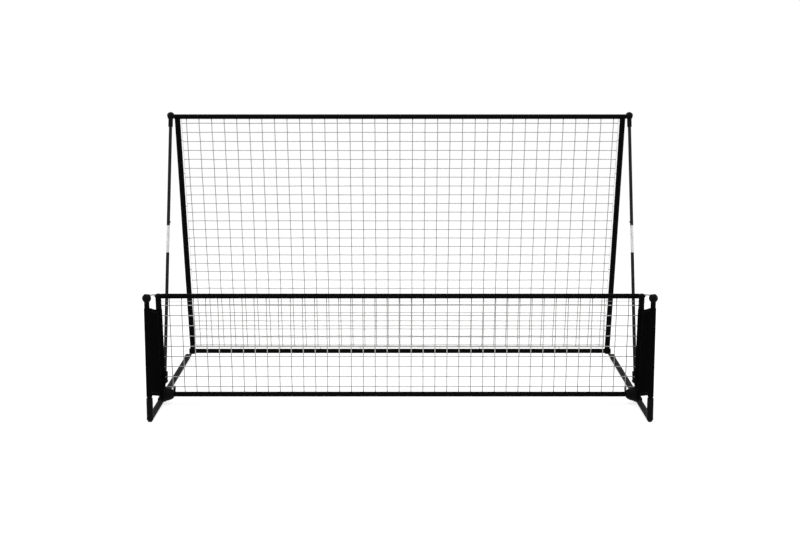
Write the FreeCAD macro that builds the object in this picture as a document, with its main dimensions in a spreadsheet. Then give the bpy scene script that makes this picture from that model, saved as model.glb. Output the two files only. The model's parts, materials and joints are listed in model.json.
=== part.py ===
import FreeCAD, Part
import math
import os
import Sketcher

# Pitch back rebounder: two netted steel frames on two ground rails.
# Millimetres. X runs across the object, Y away from the low front frame, Z up.
# The origin is on the ground under the middle of the whole object.

os.makedirs("parts", exist_ok=True)
doc = FreeCAD.newDocument("Rebounder")
size = doc.addObject("Spreadsheet::Sheet", "Sizes")

DRIVING_SIZES = (
    # Layout of the tube axes; "back" is measured from the front posts
    ("rail_half_width", 916.5),
    ("rail_reach", 1003.0),
    ("front_inset", 7.5),
    ("front_foot_back", 254.0),
    ("front_foot_height", 37.8),
    ("front_length", 393.2),
    ("front_lean", 6.3),
    ("rear_inset", 31.0),
    ("rear_hinge_inset", 66.0),
    ("rear_hinge_height", 50.0),
    ("rear_length", 1059.0),
    ("rear_lean", 15.6),
    # Steel tubes
    ("rail_diameter", 22.0),
    ("post_diameter", 19.0),
    ("side_tube_diameter", 22.0),
    ("bar_diameter", 19.0),
    ("tube_wall", 1.2),
    ("strut_diameter", 12.7),
    ("strut_wall", 1.0),
    ("inner_tube_diameter", 10.5),
    ("inner_tube_wall", 0.9),
    # Clearances
    ("slip_gap", 0.1),
    ("running_gap", 0.05),
    ("soft_gap", 0.3),
    ("screw_edge", 1.0),
    # Foot elbows and posts
    ("foot_ball_diameter", 25.0),
    ("foot_pad_diameter", 14.0),
    ("foot_socket_diameter", 23.5),
    ("foot_socket_top", 88.0),
    ("foot_shoulder", 26.0),
    ("foot_spigot", 40.0),
    ("foot_floor", 22.0),
    ("post_ball_diameter", 33.0),
    ("post_ball_height", 461.0),
    ("post_ball_bore_rest", 2.0),
    # Stay rods
    ("stay_offset", 2.0),
    ("stay_rod_diameter", 3.8),
    ("stay_eye_diameter", 10.0),
    ("stay_eye_width", 4.2),
    ("stay_slot_gap", 0.5),
    ("stay_slot_floor_gap", 1.0),
    ("stay_pin_diameter", 3.0),
    ("stay_pin_length", 18.0),
    ("stay_pin_rise", 11.0),
    ("stay_bend_radius", 3.0),
    ("stay_hook_length", 5.0),
    ("stay_hook_rise", 6.2),
    ("stay_hook_forward", 3.6),
    ("stay_hook_gap", 0.5),
    ("stay_rest_gap", 0.3),
    # Plugs in the tube ends
    ("plug_shank", 3.3),
    ("rail_plug_shank", 18.0),
    ("rail_plug_dome", 5.0),
    ("front_plug_dome", 3.0),
    ("front_tube_overhang", 6.5),
    ("rear_plug_cap", 1.6),
    ("rear_tube_overhang", 8.0),
    ("rear_tube_top_drop", 4.0),
    # Hubs that carry the front frame and the struts
    ("hub_diameter", 53.0),
    ("hub_width", 42.7),
    ("hub_tip_radius", 22.0),
    ("hub_rail_gap", 1.0),
    ("hub_ear_diameter", 8.5),
    ("hub_ear_inset", 2.2),
    ("hub_ear_reach", 30.5),
    ("hub_ear_tilt", 30.0),
    ("hub_bar_socket", 22.0),
    ("hub_socket_wall", 3.4),
    ("hub_socket_rise", 28.0),
    ("hub_socket_screw_turn", 50.0),
    ("hub_saddle_length", 56.0),
    ("hub_saddle_width", 20.0),
    ("hub_saddle_thickness", 5.0),
    ("hub_fin_thickness", 6.0),
    ("hub_fin_width", 18.0),
    # Struts; the lower pivot is placed from the front frame's foot
    ("strut_foot_inset", 12.0),
    ("strut_foot_setback", 30.0),
    ("strut_foot_rise", 44.2),
    ("strut_pin_diameter", 6.0),
    ("strut_pin_head_diameter", 10.0),
    ("strut_pin_head", 2.5),
    ("strut_pin_end", 2.5),
    ("strut_fork_diameter", 22.0),
    ("strut_fork_length", 37.0),
    ("strut_fork_slot", 15.0),
    ("strut_fork_floor", 18.0),
    ("strut_fork_play", 0.3),
    ("strut_lower_end", 503.0),
    ("strut_upper_start", 612.0),
    ("strut_inner_lap", 120.0),
    ("strut_inner_reach", 170.0),
    ("strut_ball_diameter", 30.6),
    ("strut_ball_offset", 26.0),
    ("strut_ball_rise", 3.3),
    ("strut_ball_seat", 9.0),
    ("strut_ball_side_gap", 1.2),
    ("strut_ball_bore_diameter", 9.4),
    ("strut_sleeve_diameter", 18.0),
    ("strut_sleeve_length", 41.0),
    ("strut_sleeve_floor", 24.0),
    ("strut_rivet_diameter", 3.0),
    ("strut_rivet_inset", 33.0),
    ("strut_nut_diameter", 11.0),
    ("strut_nut_height", 4.0),
    ("strut_nut_inset", 18.0),
    ("thumbscrew_diameter", 5.0),
    ("thumbscrew_knob_diameter", 12.0),
    ("thumbscrew_knob_height", 8.0),
    ("thumbscrew_knob_gap", 2.0),
    # Rear hinge
    ("hinge_bolt_diameter", 7.9),
    ("hinge_head_diameter", 12.9),
    ("hinge_washer_diameter", 18.0),
    ("hinge_washer_thickness", 1.2),
    ("bracket_thickness", 2.5),
    ("bracket_boss_diameter", 22.0),
    ("bracket_heel_height", 6.0),
    ("bracket_start_offset", 7.0),
    ("bracket_end_offset", 53.0),
    ("bracket_flange_width", 26.0),
    # Bolts, screws and threaded inserts
    ("corner_bolt_diameter", 5.9),
    ("corner_head_diameter", 11.0),
    ("corner_head_height", 3.4),
    ("bolt_length", 36.0),
    ("insert_length", 22.0),
    ("insert_setback", 3.0),
    ("screw_diameter", 3.9),
    ("screw_head_diameter", 8.0),
    ("screw_head_height", 2.4),
    ("screw_length", 9.0),
    # Nets: cord, and the places of the lines drawn here
    ("net_cord", 3.0),
    ("net_gap", 0.4),
    ("front_net_inset", 43.0),
    ("front_net_columns", 19),
    ("front_net_rows", 8),
    ("front_net_bottom_row", 31.8),
    ("front_net_top_gap", 36.5),
    ("front_net_edge_gap", 21.0),
    ("rear_net_inset", 35.5),
    ("rear_net_edge_inset", 23.5),
    ("rear_net_columns", 17),
    ("rear_net_rows", 13),
    ("rear_net_bottom_row", 28.7),
    ("rear_net_top_gap", 27.9),
    ("rear_net_edge_row", 19.5),
    ("rear_peg_diameter", 3.4),
    ("rear_peg_overrun", 0.3),
    ("rear_side_pegs", 7),
    ("rear_bottom_pegs", 9),
    # Fabric side panels: heights of the corners on the post and on the side tube
    ("panel_thickness", 2.4),
    ("panel_sleeve_thickness", 1.5),
    ("panel_foot_gap", 7.0),
    ("panel_post_drop", 37.5),
    ("panel_frame_drop", 54.0),
    ("panel_hub_gap", 8.2),
    ("panel_saddle_gap", 7.0),
    ("panel_socket_gap", 4.6),
)
# What follows from the sizes above
TIED_SIZES = (
    ("front_half_width", "rail_half_width - front_inset"),
    ("rear_half_width", "rail_half_width - rear_inset"),
    ("rear_hinge_back", "rail_reach - rear_hinge_inset"),
    ("hub_inner_face", "rail_half_width - rail_diameter / 2 - hub_rail_gap - hub_width"),
    ("strut_foot_half_width", "rail_half_width - strut_foot_inset"),
    ("strut_foot_back", "front_foot_back + strut_foot_setback"),
    ("strut_foot_height", "front_foot_height + strut_foot_rise"),
    ("strut_ball_half_width", "rear_half_width + strut_ball_offset"),
    ("strut_inner_start", "strut_lower_end - strut_inner_lap"),
    ("strut_inner_end", "strut_upper_start + strut_inner_reach"),
    ("strut_rivet_place", "strut_lower_end - strut_rivet_inset"),
    ("strut_nut_place", "strut_upper_start + strut_nut_inset"),
    ("bracket_start", "rear_hinge_back + bracket_start_offset"),
    ("bracket_end", "rear_hinge_back + bracket_end_offset"),
    ("front_net_half_width", "front_half_width - front_net_inset"),
    ("front_net_top_row", "front_length - front_net_top_gap"),
    ("front_net_edge_row", "front_length - front_net_edge_gap"),
    ("rear_net_half_width", "rear_half_width - rear_net_inset"),
    ("rear_net_edge_half_width", "rear_half_width - rear_net_edge_inset"),
    ("rear_net_top_row", "rear_length - rear_net_top_gap"),
    ("panel_post_bottom", "foot_socket_top + panel_foot_gap"),
    ("panel_post_top", "post_ball_height - panel_post_drop"),
    ("panel_frame_top", "front_foot_height + front_length - panel_frame_drop"),
    ("panel_frame_bottom", "front_foot_height + hub_socket_rise + panel_hub_gap"),
    ("panel_tab_bottom", "rail_diameter + hub_saddle_thickness + panel_saddle_gap"),
    ("panel_tab_back",
     "front_foot_back - side_tube_diameter / 2 - hub_socket_wall - panel_socket_gap"),
)
for row, (alias, value) in enumerate(DRIVING_SIZES, start=1):
    size.set(f"A{row}", alias.replace("_", " "))
    size.set(f"B{row}", str(value))
    size.setAlias(f"B{row}", alias)
for row, (alias, formula) in enumerate(TIED_SIZES, start=1 + len(DRIVING_SIZES)):
    size.set(f"A{row}", alias.replace("_", " "))
    size.set(f"B{row}", f"={formula}")
    size.setAlias(f"B{row}", alias)
doc.recompute()

SIDES = (("left", -1.0), ("right", 1.0))
UP = (0.0, 0.0, 1.0)
BACK = (0.0, 1.0, 0.0)
ACROSS = (1.0, 0.0, 0.0)
OVERSHOOT = 1.0

rail_radius = size.rail_diameter / 2
post_radius = size.post_diameter / 2
side_radius = size.side_tube_diameter / 2
bar_radius = size.bar_diameter / 2
ball_radius = size.post_ball_diameter / 2
foot_radius = size.foot_ball_diameter / 2
front_reach = max(ball_radius, foot_radius)
post_y = -(size.rail_reach + size.rail_plug_dome - front_reach) / 2

finished = []


def vector(point):
    return FreeCAD.Vector(*point)


def facing(spot, along):
    """Place a piece at a spot with its own Z along a direction."""
    turn = FreeCAD.Rotation(vector(UP), vector(along))
    return FreeCAD.Placement(vector(spot), turn)


def shifted(spot, along, distance):
    """The point at a distance from a spot along a direction."""
    return tuple(start + distance * step for start, step in zip(spot, along))


def bind(piece, formulas):
    for name, formula in formulas.items():
        piece.setExpression(name, formula)


def cylinder(name, radius, height, spot, along):
    piece = doc.addObject("Part::Cylinder", name)
    bind(piece, {"Radius": radius, "Height": height})
    piece.Placement = facing(spot, along)
    return piece


def cone(name, start_radius, end_radius, height, spot, along):
    piece = doc.addObject("Part::Cone", name)
    bind(piece, {"Radius1": start_radius, "Radius2": end_radius, "Height": height})
    piece.Placement = facing(spot, along)
    return piece


def sphere(name, radius, spot):
    piece = doc.addObject("Part::Sphere", name)
    bind(piece, {"Radius": radius})
    piece.Placement.Base = vector(spot)
    return piece


def dome(name, base_radius, rise, spot, along, base_length, rise_length):
    """A spherical cap on a round base; the two lengths are the values of the two formulas."""
    piece = doc.addObject("Part::Sphere", name)
    whole = f"(({base_radius}) ^ 2 + ({rise}) ^ 2) / (2 * ({rise}))"
    bind(piece, {"Radius": whole, "Angle1": f"asin(1 - ({rise}) / ({whole}))"})
    radius = (base_length ** 2 + rise_length ** 2) / (2 * rise_length)
    piece.Placement = facing(shifted(spot, along, rise_length - radius), along)
    return piece


def box(name, lengths, low_corner, turn=None):
    """A box from its low corner; turn is a rotation about that corner."""
    piece = doc.addObject("Part::Box", name)
    bind(piece, dict(zip(("Length", "Width", "Height"), lengths)))
    piece.Placement = FreeCAD.Placement(vector(low_corner), turn or FreeCAD.Rotation())
    return piece


def fuse(name, pieces):
    piece = doc.addObject("Part::MultiFuse", name)
    piece.Shapes = pieces
    return piece


def cut(name, base, tools):
    piece = doc.addObject("Part::Cut", name)
    piece.Base = base
    piece.Tool = tools[0] if len(tools) == 1 else fuse(name + "_tools", tools)
    return piece


def group(name, pieces):
    """Separate identical pieces that share one node."""
    piece = doc.addObject("Part::Compound", name)
    piece.Links = pieces
    return finish(piece)


def finish(piece):
    finished.append(piece)
    return piece


def origin_plane(body, role):
    return next(plane for plane in body.Origin.OriginFeatures if plane.Role == role)


def sketch_on(body, name, role):
    sketch = body.newObject("Sketcher::SketchObject", name)
    sketch.AttachmentSupport = (origin_plane(body, role), [""])
    sketch.MapMode = "FlatFace"
    return sketch


def tube(name, diameter, wall, length, spot, along):
    """A round tube padded from a ring."""
    body = doc.addObject("PartDesign::Body", name)
    ring = sketch_on(body, name + "_ring", "XY_Plane")
    radii = (f"({diameter}) / 2", f"({diameter}) / 2 - ({wall})")
    for index, (radius, start) in enumerate(zip(radii, (10.0, 5.0))):
        ring.addGeometry(Part.Circle(vector((0, 0, 0)), vector(UP), start), False)
        ring.addConstraint(Sketcher.Constraint("Coincident", index, 3, -1, 1))
        constraint = ring.addConstraint(Sketcher.Constraint("Radius", index, start))
        ring.setExpression(f"Constraints[{constraint}]", radius)
    pad = body.newObject("PartDesign::Pad", name + "_pad")
    pad.Profile = ring
    pad.setExpression("Length", length)
    body.Placement = facing(spot, along)
    return body


def plate(name, edges, thickness, spot, turn=0.0):
    """A plate padded both ways from an outline in (back, height), turned about the upright."""
    body = doc.addObject("PartDesign::Body", name)
    outline = sketch_on(body, name + "_outline", "YZ_Plane")
    for edge in edges:
        outline.addGeometry(edge, False)
    pad = body.newObject("PartDesign::Pad", name + "_pad")
    pad.Profile = outline
    pad.Midplane = True
    pad.setExpression("Length", thickness)
    body.Placement = FreeCAD.Placement(vector(spot), FreeCAD.Rotation(vector(UP), turn))
    return body


def turned(name, edges, spot, along):
    """A solid turned about its own Z from an outline in (radius, height)."""
    body = doc.addObject("PartDesign::Body", name)
    outline = sketch_on(body, name + "_outline", "XZ_Plane")
    for edge in edges:
        outline.addGeometry(edge, False)
    turn = body.newObject("PartDesign::Revolution", name + "_turn")
    turn.Profile = outline
    turn.ReferenceAxis = (outline, ["V_Axis"])
    turn.Angle = 360
    body.Placement = facing(spot, along)
    return body


def screw(name, spot, along, diameter, length, head_diameter, head_height):
    """A domed head outside the spot and a shank along a direction."""
    shank = cylinder(name + "_shank", f"{diameter} / 2", length, spot, along)
    outward = tuple(-step for step in along)
    head = dome(name + "_head", f"{head_diameter} / 2", head_height, spot, outward,
                getattr(size, head_diameter.split(".")[1]) / 2,
                getattr(size, head_height.split(".")[1]))
    return fuse(name, [shank, head])


def front_point(half_width, along, outward=0.0):
    """A point of the front frame's plane, by its distance up the side tubes."""
    lean = math.radians(size.front_lean)
    y = post_y + size.front_foot_back - along * math.sin(lean) + outward * math.cos(lean)
    z = size.front_foot_height + along * math.cos(lean) + outward * math.sin(lean)
    return (half_width, y, z)


def rear_point(half_width, along, outward=0.0):
    """A point of the rear frame's plane, by its distance up the side tubes."""
    lean = math.radians(size.rear_lean)
    y = post_y + size.rear_hinge_back - along * math.sin(lean) + outward * math.cos(lean)
    z = size.rear_hinge_height + along * math.cos(lean) + outward * math.sin(lean)
    return (half_width, y, z)


def leaning(angle):
    return (0.0, -math.sin(math.radians(angle)), math.cos(math.radians(angle)))


FRONT_UP = leaning(size.front_lean)
FRONT_OUT = (0.0, FRONT_UP[2], -FRONT_UP[1])
REAR_UP = leaning(size.rear_lean)
HUB_EAR_UP = leaning(size.front_lean - size.hub_ear_tilt)


# Ground rails

def make_rails():
    plugs = []
    for side, sign in SIDES:
        x = sign * size.rail_half_width
        name = f"rail_{side}"
        whole = tube(name + "_tube", "Sizes.rail_diameter", "Sizes.tube_wall",
                     "Sizes.rail_reach - Sizes.foot_shoulder",
                     (x, post_y + size.foot_shoulder, rail_radius), BACK)
        holes = [cylinder(f"{name}_hole_{number}", "Sizes.screw_diameter / 2 + Sizes.slip_gap",
                          "Sizes.rail_diameter / 2", (x, y, rail_radius), UP)
                 for number, y in enumerate(rail_screw_places())]
        finish(cut(name, whole, holes))
        plugs.append(rail_plug(f"rail_end_plug_{side}", x))
    group("rail_end_plugs", plugs)


def rail_screw_places():
    """Where screws go down into the rail: two in the hub's saddle, two in the rear bracket."""
    hub_reach = (size.hub_saddle_length - size.screw_head_diameter) / 2 - size.screw_edge
    hub = post_y + size.front_foot_back
    bracket_inset = size.screw_head_diameter
    return (hub - hub_reach, hub + hub_reach,
            post_y + size.bracket_start + bracket_inset,
            post_y + size.bracket_end - bracket_inset)


def rail_plug(name, x):
    end = (x, post_y + size.rail_reach, rail_radius)
    shank = cylinder(name + "_shank",
                     "Sizes.rail_diameter / 2 - Sizes.tube_wall - Sizes.slip_gap",
                     "Sizes.rail_plug_shank", shifted(end, BACK, -size.rail_plug_shank), BACK)
    cap = dome(name + "_cap", "Sizes.rail_diameter / 2", "Sizes.rail_plug_dome", end, BACK,
               rail_radius, size.rail_plug_dome)
    return fuse(name, [shank, cap])


# Foot elbows, posts and their ball caps

def make_posts():
    pins = []
    for side, sign in SIDES:
        x = sign * size.rail_half_width
        make_foot(f"foot_elbow_{side}", x)
        post_top = size.post_ball_height - size.post_ball_bore_rest
        finish(tube(f"post_{side}", "Sizes.post_diameter", "Sizes.tube_wall",
                    "Sizes.post_ball_height - Sizes.post_ball_bore_rest - Sizes.foot_floor",
                    (x, post_y, size.foot_floor), UP))
        make_ball(f"post_ball_{side}", x, sign, post_top)
        pins.append(cylinder(f"stay_pin_{side}", "Sizes.stay_pin_diameter / 2",
                             "Sizes.stay_pin_length",
                             (x - size.stay_pin_length / 2, post_y, stay_pivot(sign)[2]), ACROSS))
    group("stay_pins", pins)


def make_foot(name, x):
    ball = sphere(name + "_ball", "Sizes.foot_ball_diameter / 2", (x, post_y, foot_radius))
    pad = cylinder(name + "_pad", "Sizes.foot_pad_diameter / 2", "Sizes.foot_ball_diameter / 2",
                   (x, post_y, 0.0), UP)
    riser = cylinder(name + "_riser", "Sizes.foot_socket_diameter / 2",
                     "Sizes.foot_socket_top - Sizes.foot_ball_diameter / 2",
                     (x, post_y, foot_radius), UP)
    neck = cylinder(name + "_neck", "Sizes.rail_diameter / 2", "Sizes.foot_shoulder",
                    (x, post_y, rail_radius), BACK)
    spigot = cylinder(name + "_spigot",
                      "Sizes.rail_diameter / 2 - Sizes.tube_wall - Sizes.slip_gap",
                      "Sizes.foot_spigot", (x, post_y + size.foot_shoulder, rail_radius), BACK)
    bore = cylinder(name + "_bore", "Sizes.post_diameter / 2 + Sizes.slip_gap",
                    "Sizes.foot_socket_top", (x, post_y, size.foot_floor), UP)
    solid = fuse(name + "_solid", [ball, pad, riser, neck, spigot])
    finish(cut(name, solid, [bore]))


def stay_pivot(sign):
    x = sign * (size.rail_half_width - size.stay_offset)
    return (x, post_y, size.post_ball_height + size.stay_pin_rise)


def make_ball(name, x, sign, post_top):
    ball = sphere(name + "_sphere", "Sizes.post_ball_diameter / 2",
                  (x, post_y, size.post_ball_height))
    bore = cylinder(name + "_bore", "Sizes.post_diameter / 2 + Sizes.slip_gap",
                    "Sizes.post_ball_diameter", (x, post_y, post_top), (0.0, 0.0, -1.0))
    pivot = stay_pivot(sign)
    slot_width = size.stay_eye_width + 2 * size.stay_slot_gap
    slot_floor = pivot[2] - size.stay_eye_diameter / 2 - size.stay_slot_floor_gap
    slot = box(name + "_slot", ("Sizes.stay_eye_width + 2 * Sizes.stay_slot_gap",
                                "Sizes.post_ball_diameter", "Sizes.post_ball_diameter"),
               (pivot[0] - slot_width / 2,
                post_y - size.stay_eye_diameter / 2 - size.stay_slot_floor_gap, slot_floor))
    pin_hole = cylinder(name + "_pin_hole", "Sizes.stay_pin_diameter / 2 + Sizes.running_gap",
                        "Sizes.post_ball_diameter", (x - ball_radius, post_y, pivot[2]), ACROSS)
    finish(cut(name, ball, [bore, slot, pin_hole]))


# Stay rods between the ball caps and the front frame's top corners

def stay_hook_point(sign):
    """Where the rod's axis turns down in the slot of the front side tube, before its bolt."""
    return front_point(stay_pivot(sign)[0], size.front_length + size.stay_hook_rise,
                       -size.stay_hook_forward)


def stay_directions(sign):
    """The rod's own direction, the hook's direction, and the rod's length."""
    pivot = stay_pivot(sign)
    hook = stay_hook_point(sign)
    back, rise = hook[1] - pivot[1], hook[2] - pivot[2]
    length = math.hypot(back, rise)
    along = (0.0, back / length, rise / length)
    down = (0.0, rise / length, -back / length)
    return along, down, length


def make_stays():
    for side, sign in SIDES:
        name = f"stay_rod_{side}"
        pivot = stay_pivot(sign)
        along, down, length = stay_directions(sign)
        bend = size.stay_bend_radius
        radius = "Sizes.stay_rod_diameter / 2"
        eye = cylinder(name + "_eye", "Sizes.stay_eye_diameter / 2", "Sizes.stay_eye_width",
                       shifted(pivot, ACROSS, -size.stay_eye_width / 2), ACROSS)
        rod = cylinder(name + "_straight", radius, f"{length - bend}", pivot, along)
        corner = shifted(shifted(pivot, along, length - bend), down, bend)
        turn = doc.addObject("Part::Torus", name + "_bend")
        bind(turn, {"Radius1": "Sizes.stay_bend_radius", "Radius2": radius, "Angle3": "90"})
        outward = vector(tuple(-step for step in down))
        turn.Placement = FreeCAD.Placement(
            vector(corner), FreeCAD.Rotation(outward, vector(along),
                                             outward.cross(vector(along)), "ZXY"))
        leg = cylinder(name + "_hook", radius, "Sizes.stay_hook_length - Sizes.stay_bend_radius",
                       shifted(shifted(pivot, along, length), down, bend), down)
        hole = cylinder(name + "_hole", "Sizes.stay_pin_diameter / 2 + 2 * Sizes.running_gap",
                        "2 * Sizes.stay_eye_width", shifted(pivot, ACROSS, -size.stay_eye_width),
                        ACROSS)
        finish(cut(name, fuse(name + "_solid", [eye, rod, turn, leg]), [hole]))


# Hubs at the lower corners of the front frame

def make_hubs():
    screws = []
    for side, sign in SIDES:
        name = f"hub_{side}"
        inward = (-sign, 0.0, 0.0)
        outer_x = size.rail_half_width - rail_radius - size.hub_rail_gap
        foot = front_point(sign * size.front_half_width, 0.0)
        nose = turned(name + "_nose", nose_outline(), front_point(sign * outer_x, 0.0), inward)
        socket_radius = "Sizes.side_tube_diameter / 2 + Sizes.hub_socket_wall"
        socket_drop = size.front_foot_height - rail_radius
        socket = cylinder(name + "_socket", socket_radius,
                          "Sizes.front_foot_height - Sizes.rail_diameter / 2"
                          " + Sizes.hub_socket_rise",
                          shifted(foot, FRONT_UP, -socket_drop), FRONT_UP)
        saddle = box(name + "_saddle", ("Sizes.hub_saddle_width", "Sizes.hub_saddle_length",
                                        "Sizes.rail_diameter / 2 + Sizes.hub_saddle_thickness"),
                     (min(sign * outer_x, sign * (outer_x + size.hub_saddle_width)),
                      foot[1] - size.hub_saddle_length / 2, rail_radius))
        ear = cylinder(name + "_ear", "Sizes.hub_ear_diameter / 2", "Sizes.hub_ear_reach",
                       front_point(hub_ear_x(sign), 0.0), HUB_EAR_UP)
        solid = fuse(name + "_solid", [nose, socket, saddle, ear] + hub_fin(name, sign))
        finish(cut(name, solid, hub_cuts(name, sign, foot)))
        screws += hub_screws(side, sign)
    group("hub_screws", screws)


def nose_outline():
    """A flat face that a wide arc and then a tight one close to a rounded tip."""
    base, width, tip = size.hub_diameter / 2, size.hub_width, size.hub_tip_radius
    side = ((width - tip) ** 2 + base ** 2 - tip ** 2) / (2 * (base - tip))
    turn = math.atan2(side - base, width - tip)
    half_turn = (math.pi / 2 + turn) / 2
    meeting = (tip * math.sin(turn), width - tip + tip * math.cos(turn))

    def on_arc(radius, centre, angle):
        return vector((centre[0] + radius * math.sin(angle),
                       centre[1] + radius * math.cos(angle), 0.0))

    side_centre, tip_centre = (base - side, 0.0), (0.0, width - tip)
    return [straight_edge((0.0, 0.0), (base, 0.0)),
            Part.Arc(vector((base, 0.0, 0.0)), on_arc(side, side_centre, half_turn),
                     vector((meeting[0], meeting[1], 0.0))),
            Part.Arc(vector((meeting[0], meeting[1], 0.0)), on_arc(tip, tip_centre, turn / 2),
                     vector((0.0, width, 0.0))),
            straight_edge((0.0, width), (0.0, 0.0))]


def hub_ear_x(sign):
    return sign * (size.hub_inner_face + size.hub_ear_inset)


def strut_foot(sign):
    return (sign * size.strut_foot_half_width, post_y + size.strut_foot_back,
            size.strut_foot_height)


def hub_fin(name, sign):
    """The upright fin that the strut's fork straddles."""
    pivot = strut_foot(sign)
    foot = front_point(pivot[0], 0.0)
    rise, back = pivot[2] - foot[2], pivot[1] - foot[1]
    reach = math.hypot(rise, back)
    half = size.hub_fin_thickness / 2
    turn = FreeCAD.Rotation(vector(ACROSS), -math.degrees(math.atan2(back, rise)))
    sideways = turn.multVec(vector((0.0, -size.hub_fin_width / 2, 0.0)))
    web = box(name + "_fin", ("Sizes.hub_fin_thickness", "Sizes.hub_fin_width", f"{reach}"),
              (foot[0] - half, foot[1] + sideways.y, foot[2] + sideways.z), turn)
    boss = cylinder(name + "_fin_boss", "Sizes.hub_fin_width / 2", "Sizes.hub_fin_thickness",
                    shifted(pivot, ACROSS, -half), ACROSS)
    return [web, boss]


def hub_cuts(name, sign, foot):
    bar_bore = cylinder(name + "_bar_bore", "Sizes.bar_diameter / 2 + Sizes.slip_gap",
                        "Sizes.hub_bar_socket + Sizes.hub_ear_diameter",
                        front_point(sign * (size.hub_inner_face - size.hub_ear_diameter), 0.0),
                        (sign, 0.0, 0.0))
    tube_bore = cylinder(name + "_tube_bore", "Sizes.side_tube_diameter / 2 + Sizes.slip_gap",
                         "Sizes.bar_diameter / 2 + Sizes.hub_diameter + Sizes.hub_socket_rise",
                         shifted(foot, FRONT_UP, -bar_radius), FRONT_UP)
    rail = cylinder(name + "_rail_space", "Sizes.rail_diameter / 2 + Sizes.slip_gap",
                    "2 * Sizes.hub_diameter",
                    (sign * size.rail_half_width, foot[1] - size.hub_diameter, rail_radius), BACK)
    pivot = strut_foot(sign)
    pin = cylinder(name + "_pin_hole", "Sizes.strut_pin_diameter / 2 + Sizes.running_gap",
                   "Sizes.strut_fork_diameter",
                   shifted(pivot, ACROSS, -size.strut_fork_diameter / 2), ACROSS)
    holes = [cylinder(f"{name}_screw_hole_{number}",
                      "Sizes.screw_diameter / 2 + Sizes.slip_gap", "Sizes.hub_ear_reach",
                      spot, along)
             for number, (spot, along) in enumerate(hub_screw_places(sign))]
    return [bar_bore, tube_bore, rail, pin] + holes


def hub_screw_places(sign):
    """Head seats and directions: two down into the rail, one on the ear, one in the tube."""
    x = sign * size.rail_half_width
    top = size.rail_diameter + size.hub_saddle_thickness
    down = (0.0, 0.0, -1.0)
    hub_front, hub_back = rail_screw_places()[:2]
    turn = math.radians(size.hub_socket_screw_turn)
    away = (sign * math.sin(turn), FRONT_OUT[1] * math.cos(turn), FRONT_OUT[2] * math.cos(turn))
    into_tube = tuple(-step for step in away)
    bar = shifted(front_point(hub_ear_x(sign), 0.0), HUB_EAR_UP, size.hub_ear_reach)
    into_bar = tuple(-step for step in HUB_EAR_UP)
    socket = shifted(front_point(sign * size.front_half_width,
                                 size.hub_socket_rise - size.screw_head_diameter),
                     away, side_radius + size.hub_socket_wall)
    return (((x, hub_front, top), down), ((x, hub_back, top), down),
            (bar, into_bar), (socket, into_tube))


def hub_screws(side, sign):
    made = []
    lengths = ("Sizes.screw_length", "Sizes.screw_length",
               "Sizes.hub_ear_reach - Sizes.bar_diameter / 2 + 2 * Sizes.tube_wall",
               "Sizes.hub_socket_wall + 2 * Sizes.tube_wall")
    for number, ((spot, along), length) in enumerate(zip(hub_screw_places(sign), lengths)):
        made.append(screw(f"hub_screw_{side}_{number}", spot, along, "Sizes.screw_diameter",
                          length, "Sizes.screw_head_diameter", "Sizes.screw_head_height"))
    return made


# Front frame

def coped_bar(name, x, at, side_axis):
    """A cross bar whose ends are shaped to the side tubes."""
    whole = tube(name + "_tube", "Sizes.bar_diameter", "Sizes.tube_wall", f"2 * Sizes.{x}",
                 (-getattr(size, x), at[1], at[2]), ACROSS)
    reach = 2 * size.side_tube_diameter
    saddles = [cylinder(f"{name}_cope_{side}", "Sizes.side_tube_diameter / 2",
                        "4 * Sizes.side_tube_diameter",
                        shifted((sign * getattr(size, x), at[1], at[2]), side_axis, -reach),
                        side_axis)
               for side, sign in SIDES]
    return cut(name, whole, saddles)


def corner_bolts(name, x, at, diameter, head_diameter, head_height, start_out):
    """Two bolts along X, through the side tubes into the ends of a bar."""
    made = []
    for side, sign in SIDES:
        spot = (sign * (x + start_out), at[1], at[2])
        made.append(screw(f"{name}_{side}", spot, (-sign, 0.0, 0.0), diameter,
                          f"Sizes.bolt_length + {start_out - side_radius}",
                          head_diameter, head_height))
    return group(name, made)


def inserts(name, half_width, at, bolt_diameter):
    """Threaded inserts inside both ends of a bar."""
    made = []
    for side, sign in SIDES:
        start = half_width - side_radius - size.insert_setback
        spot = (sign * start, at[1], at[2])
        plug = cylinder(f"{name}_{side}_plug",
                        "Sizes.bar_diameter / 2 - Sizes.tube_wall - Sizes.slip_gap",
                        "Sizes.insert_length", spot, (-sign, 0.0, 0.0))
        hole = cylinder(f"{name}_{side}_hole", f"{bolt_diameter} / 2 + Sizes.running_gap",
                        "Sizes.bolt_length", shifted(spot, ACROSS, sign), (-sign, 0.0, 0.0))
        made.append(cut(f"{name}_{side}", plug, [hole]))
    return group(name, made)


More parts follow.
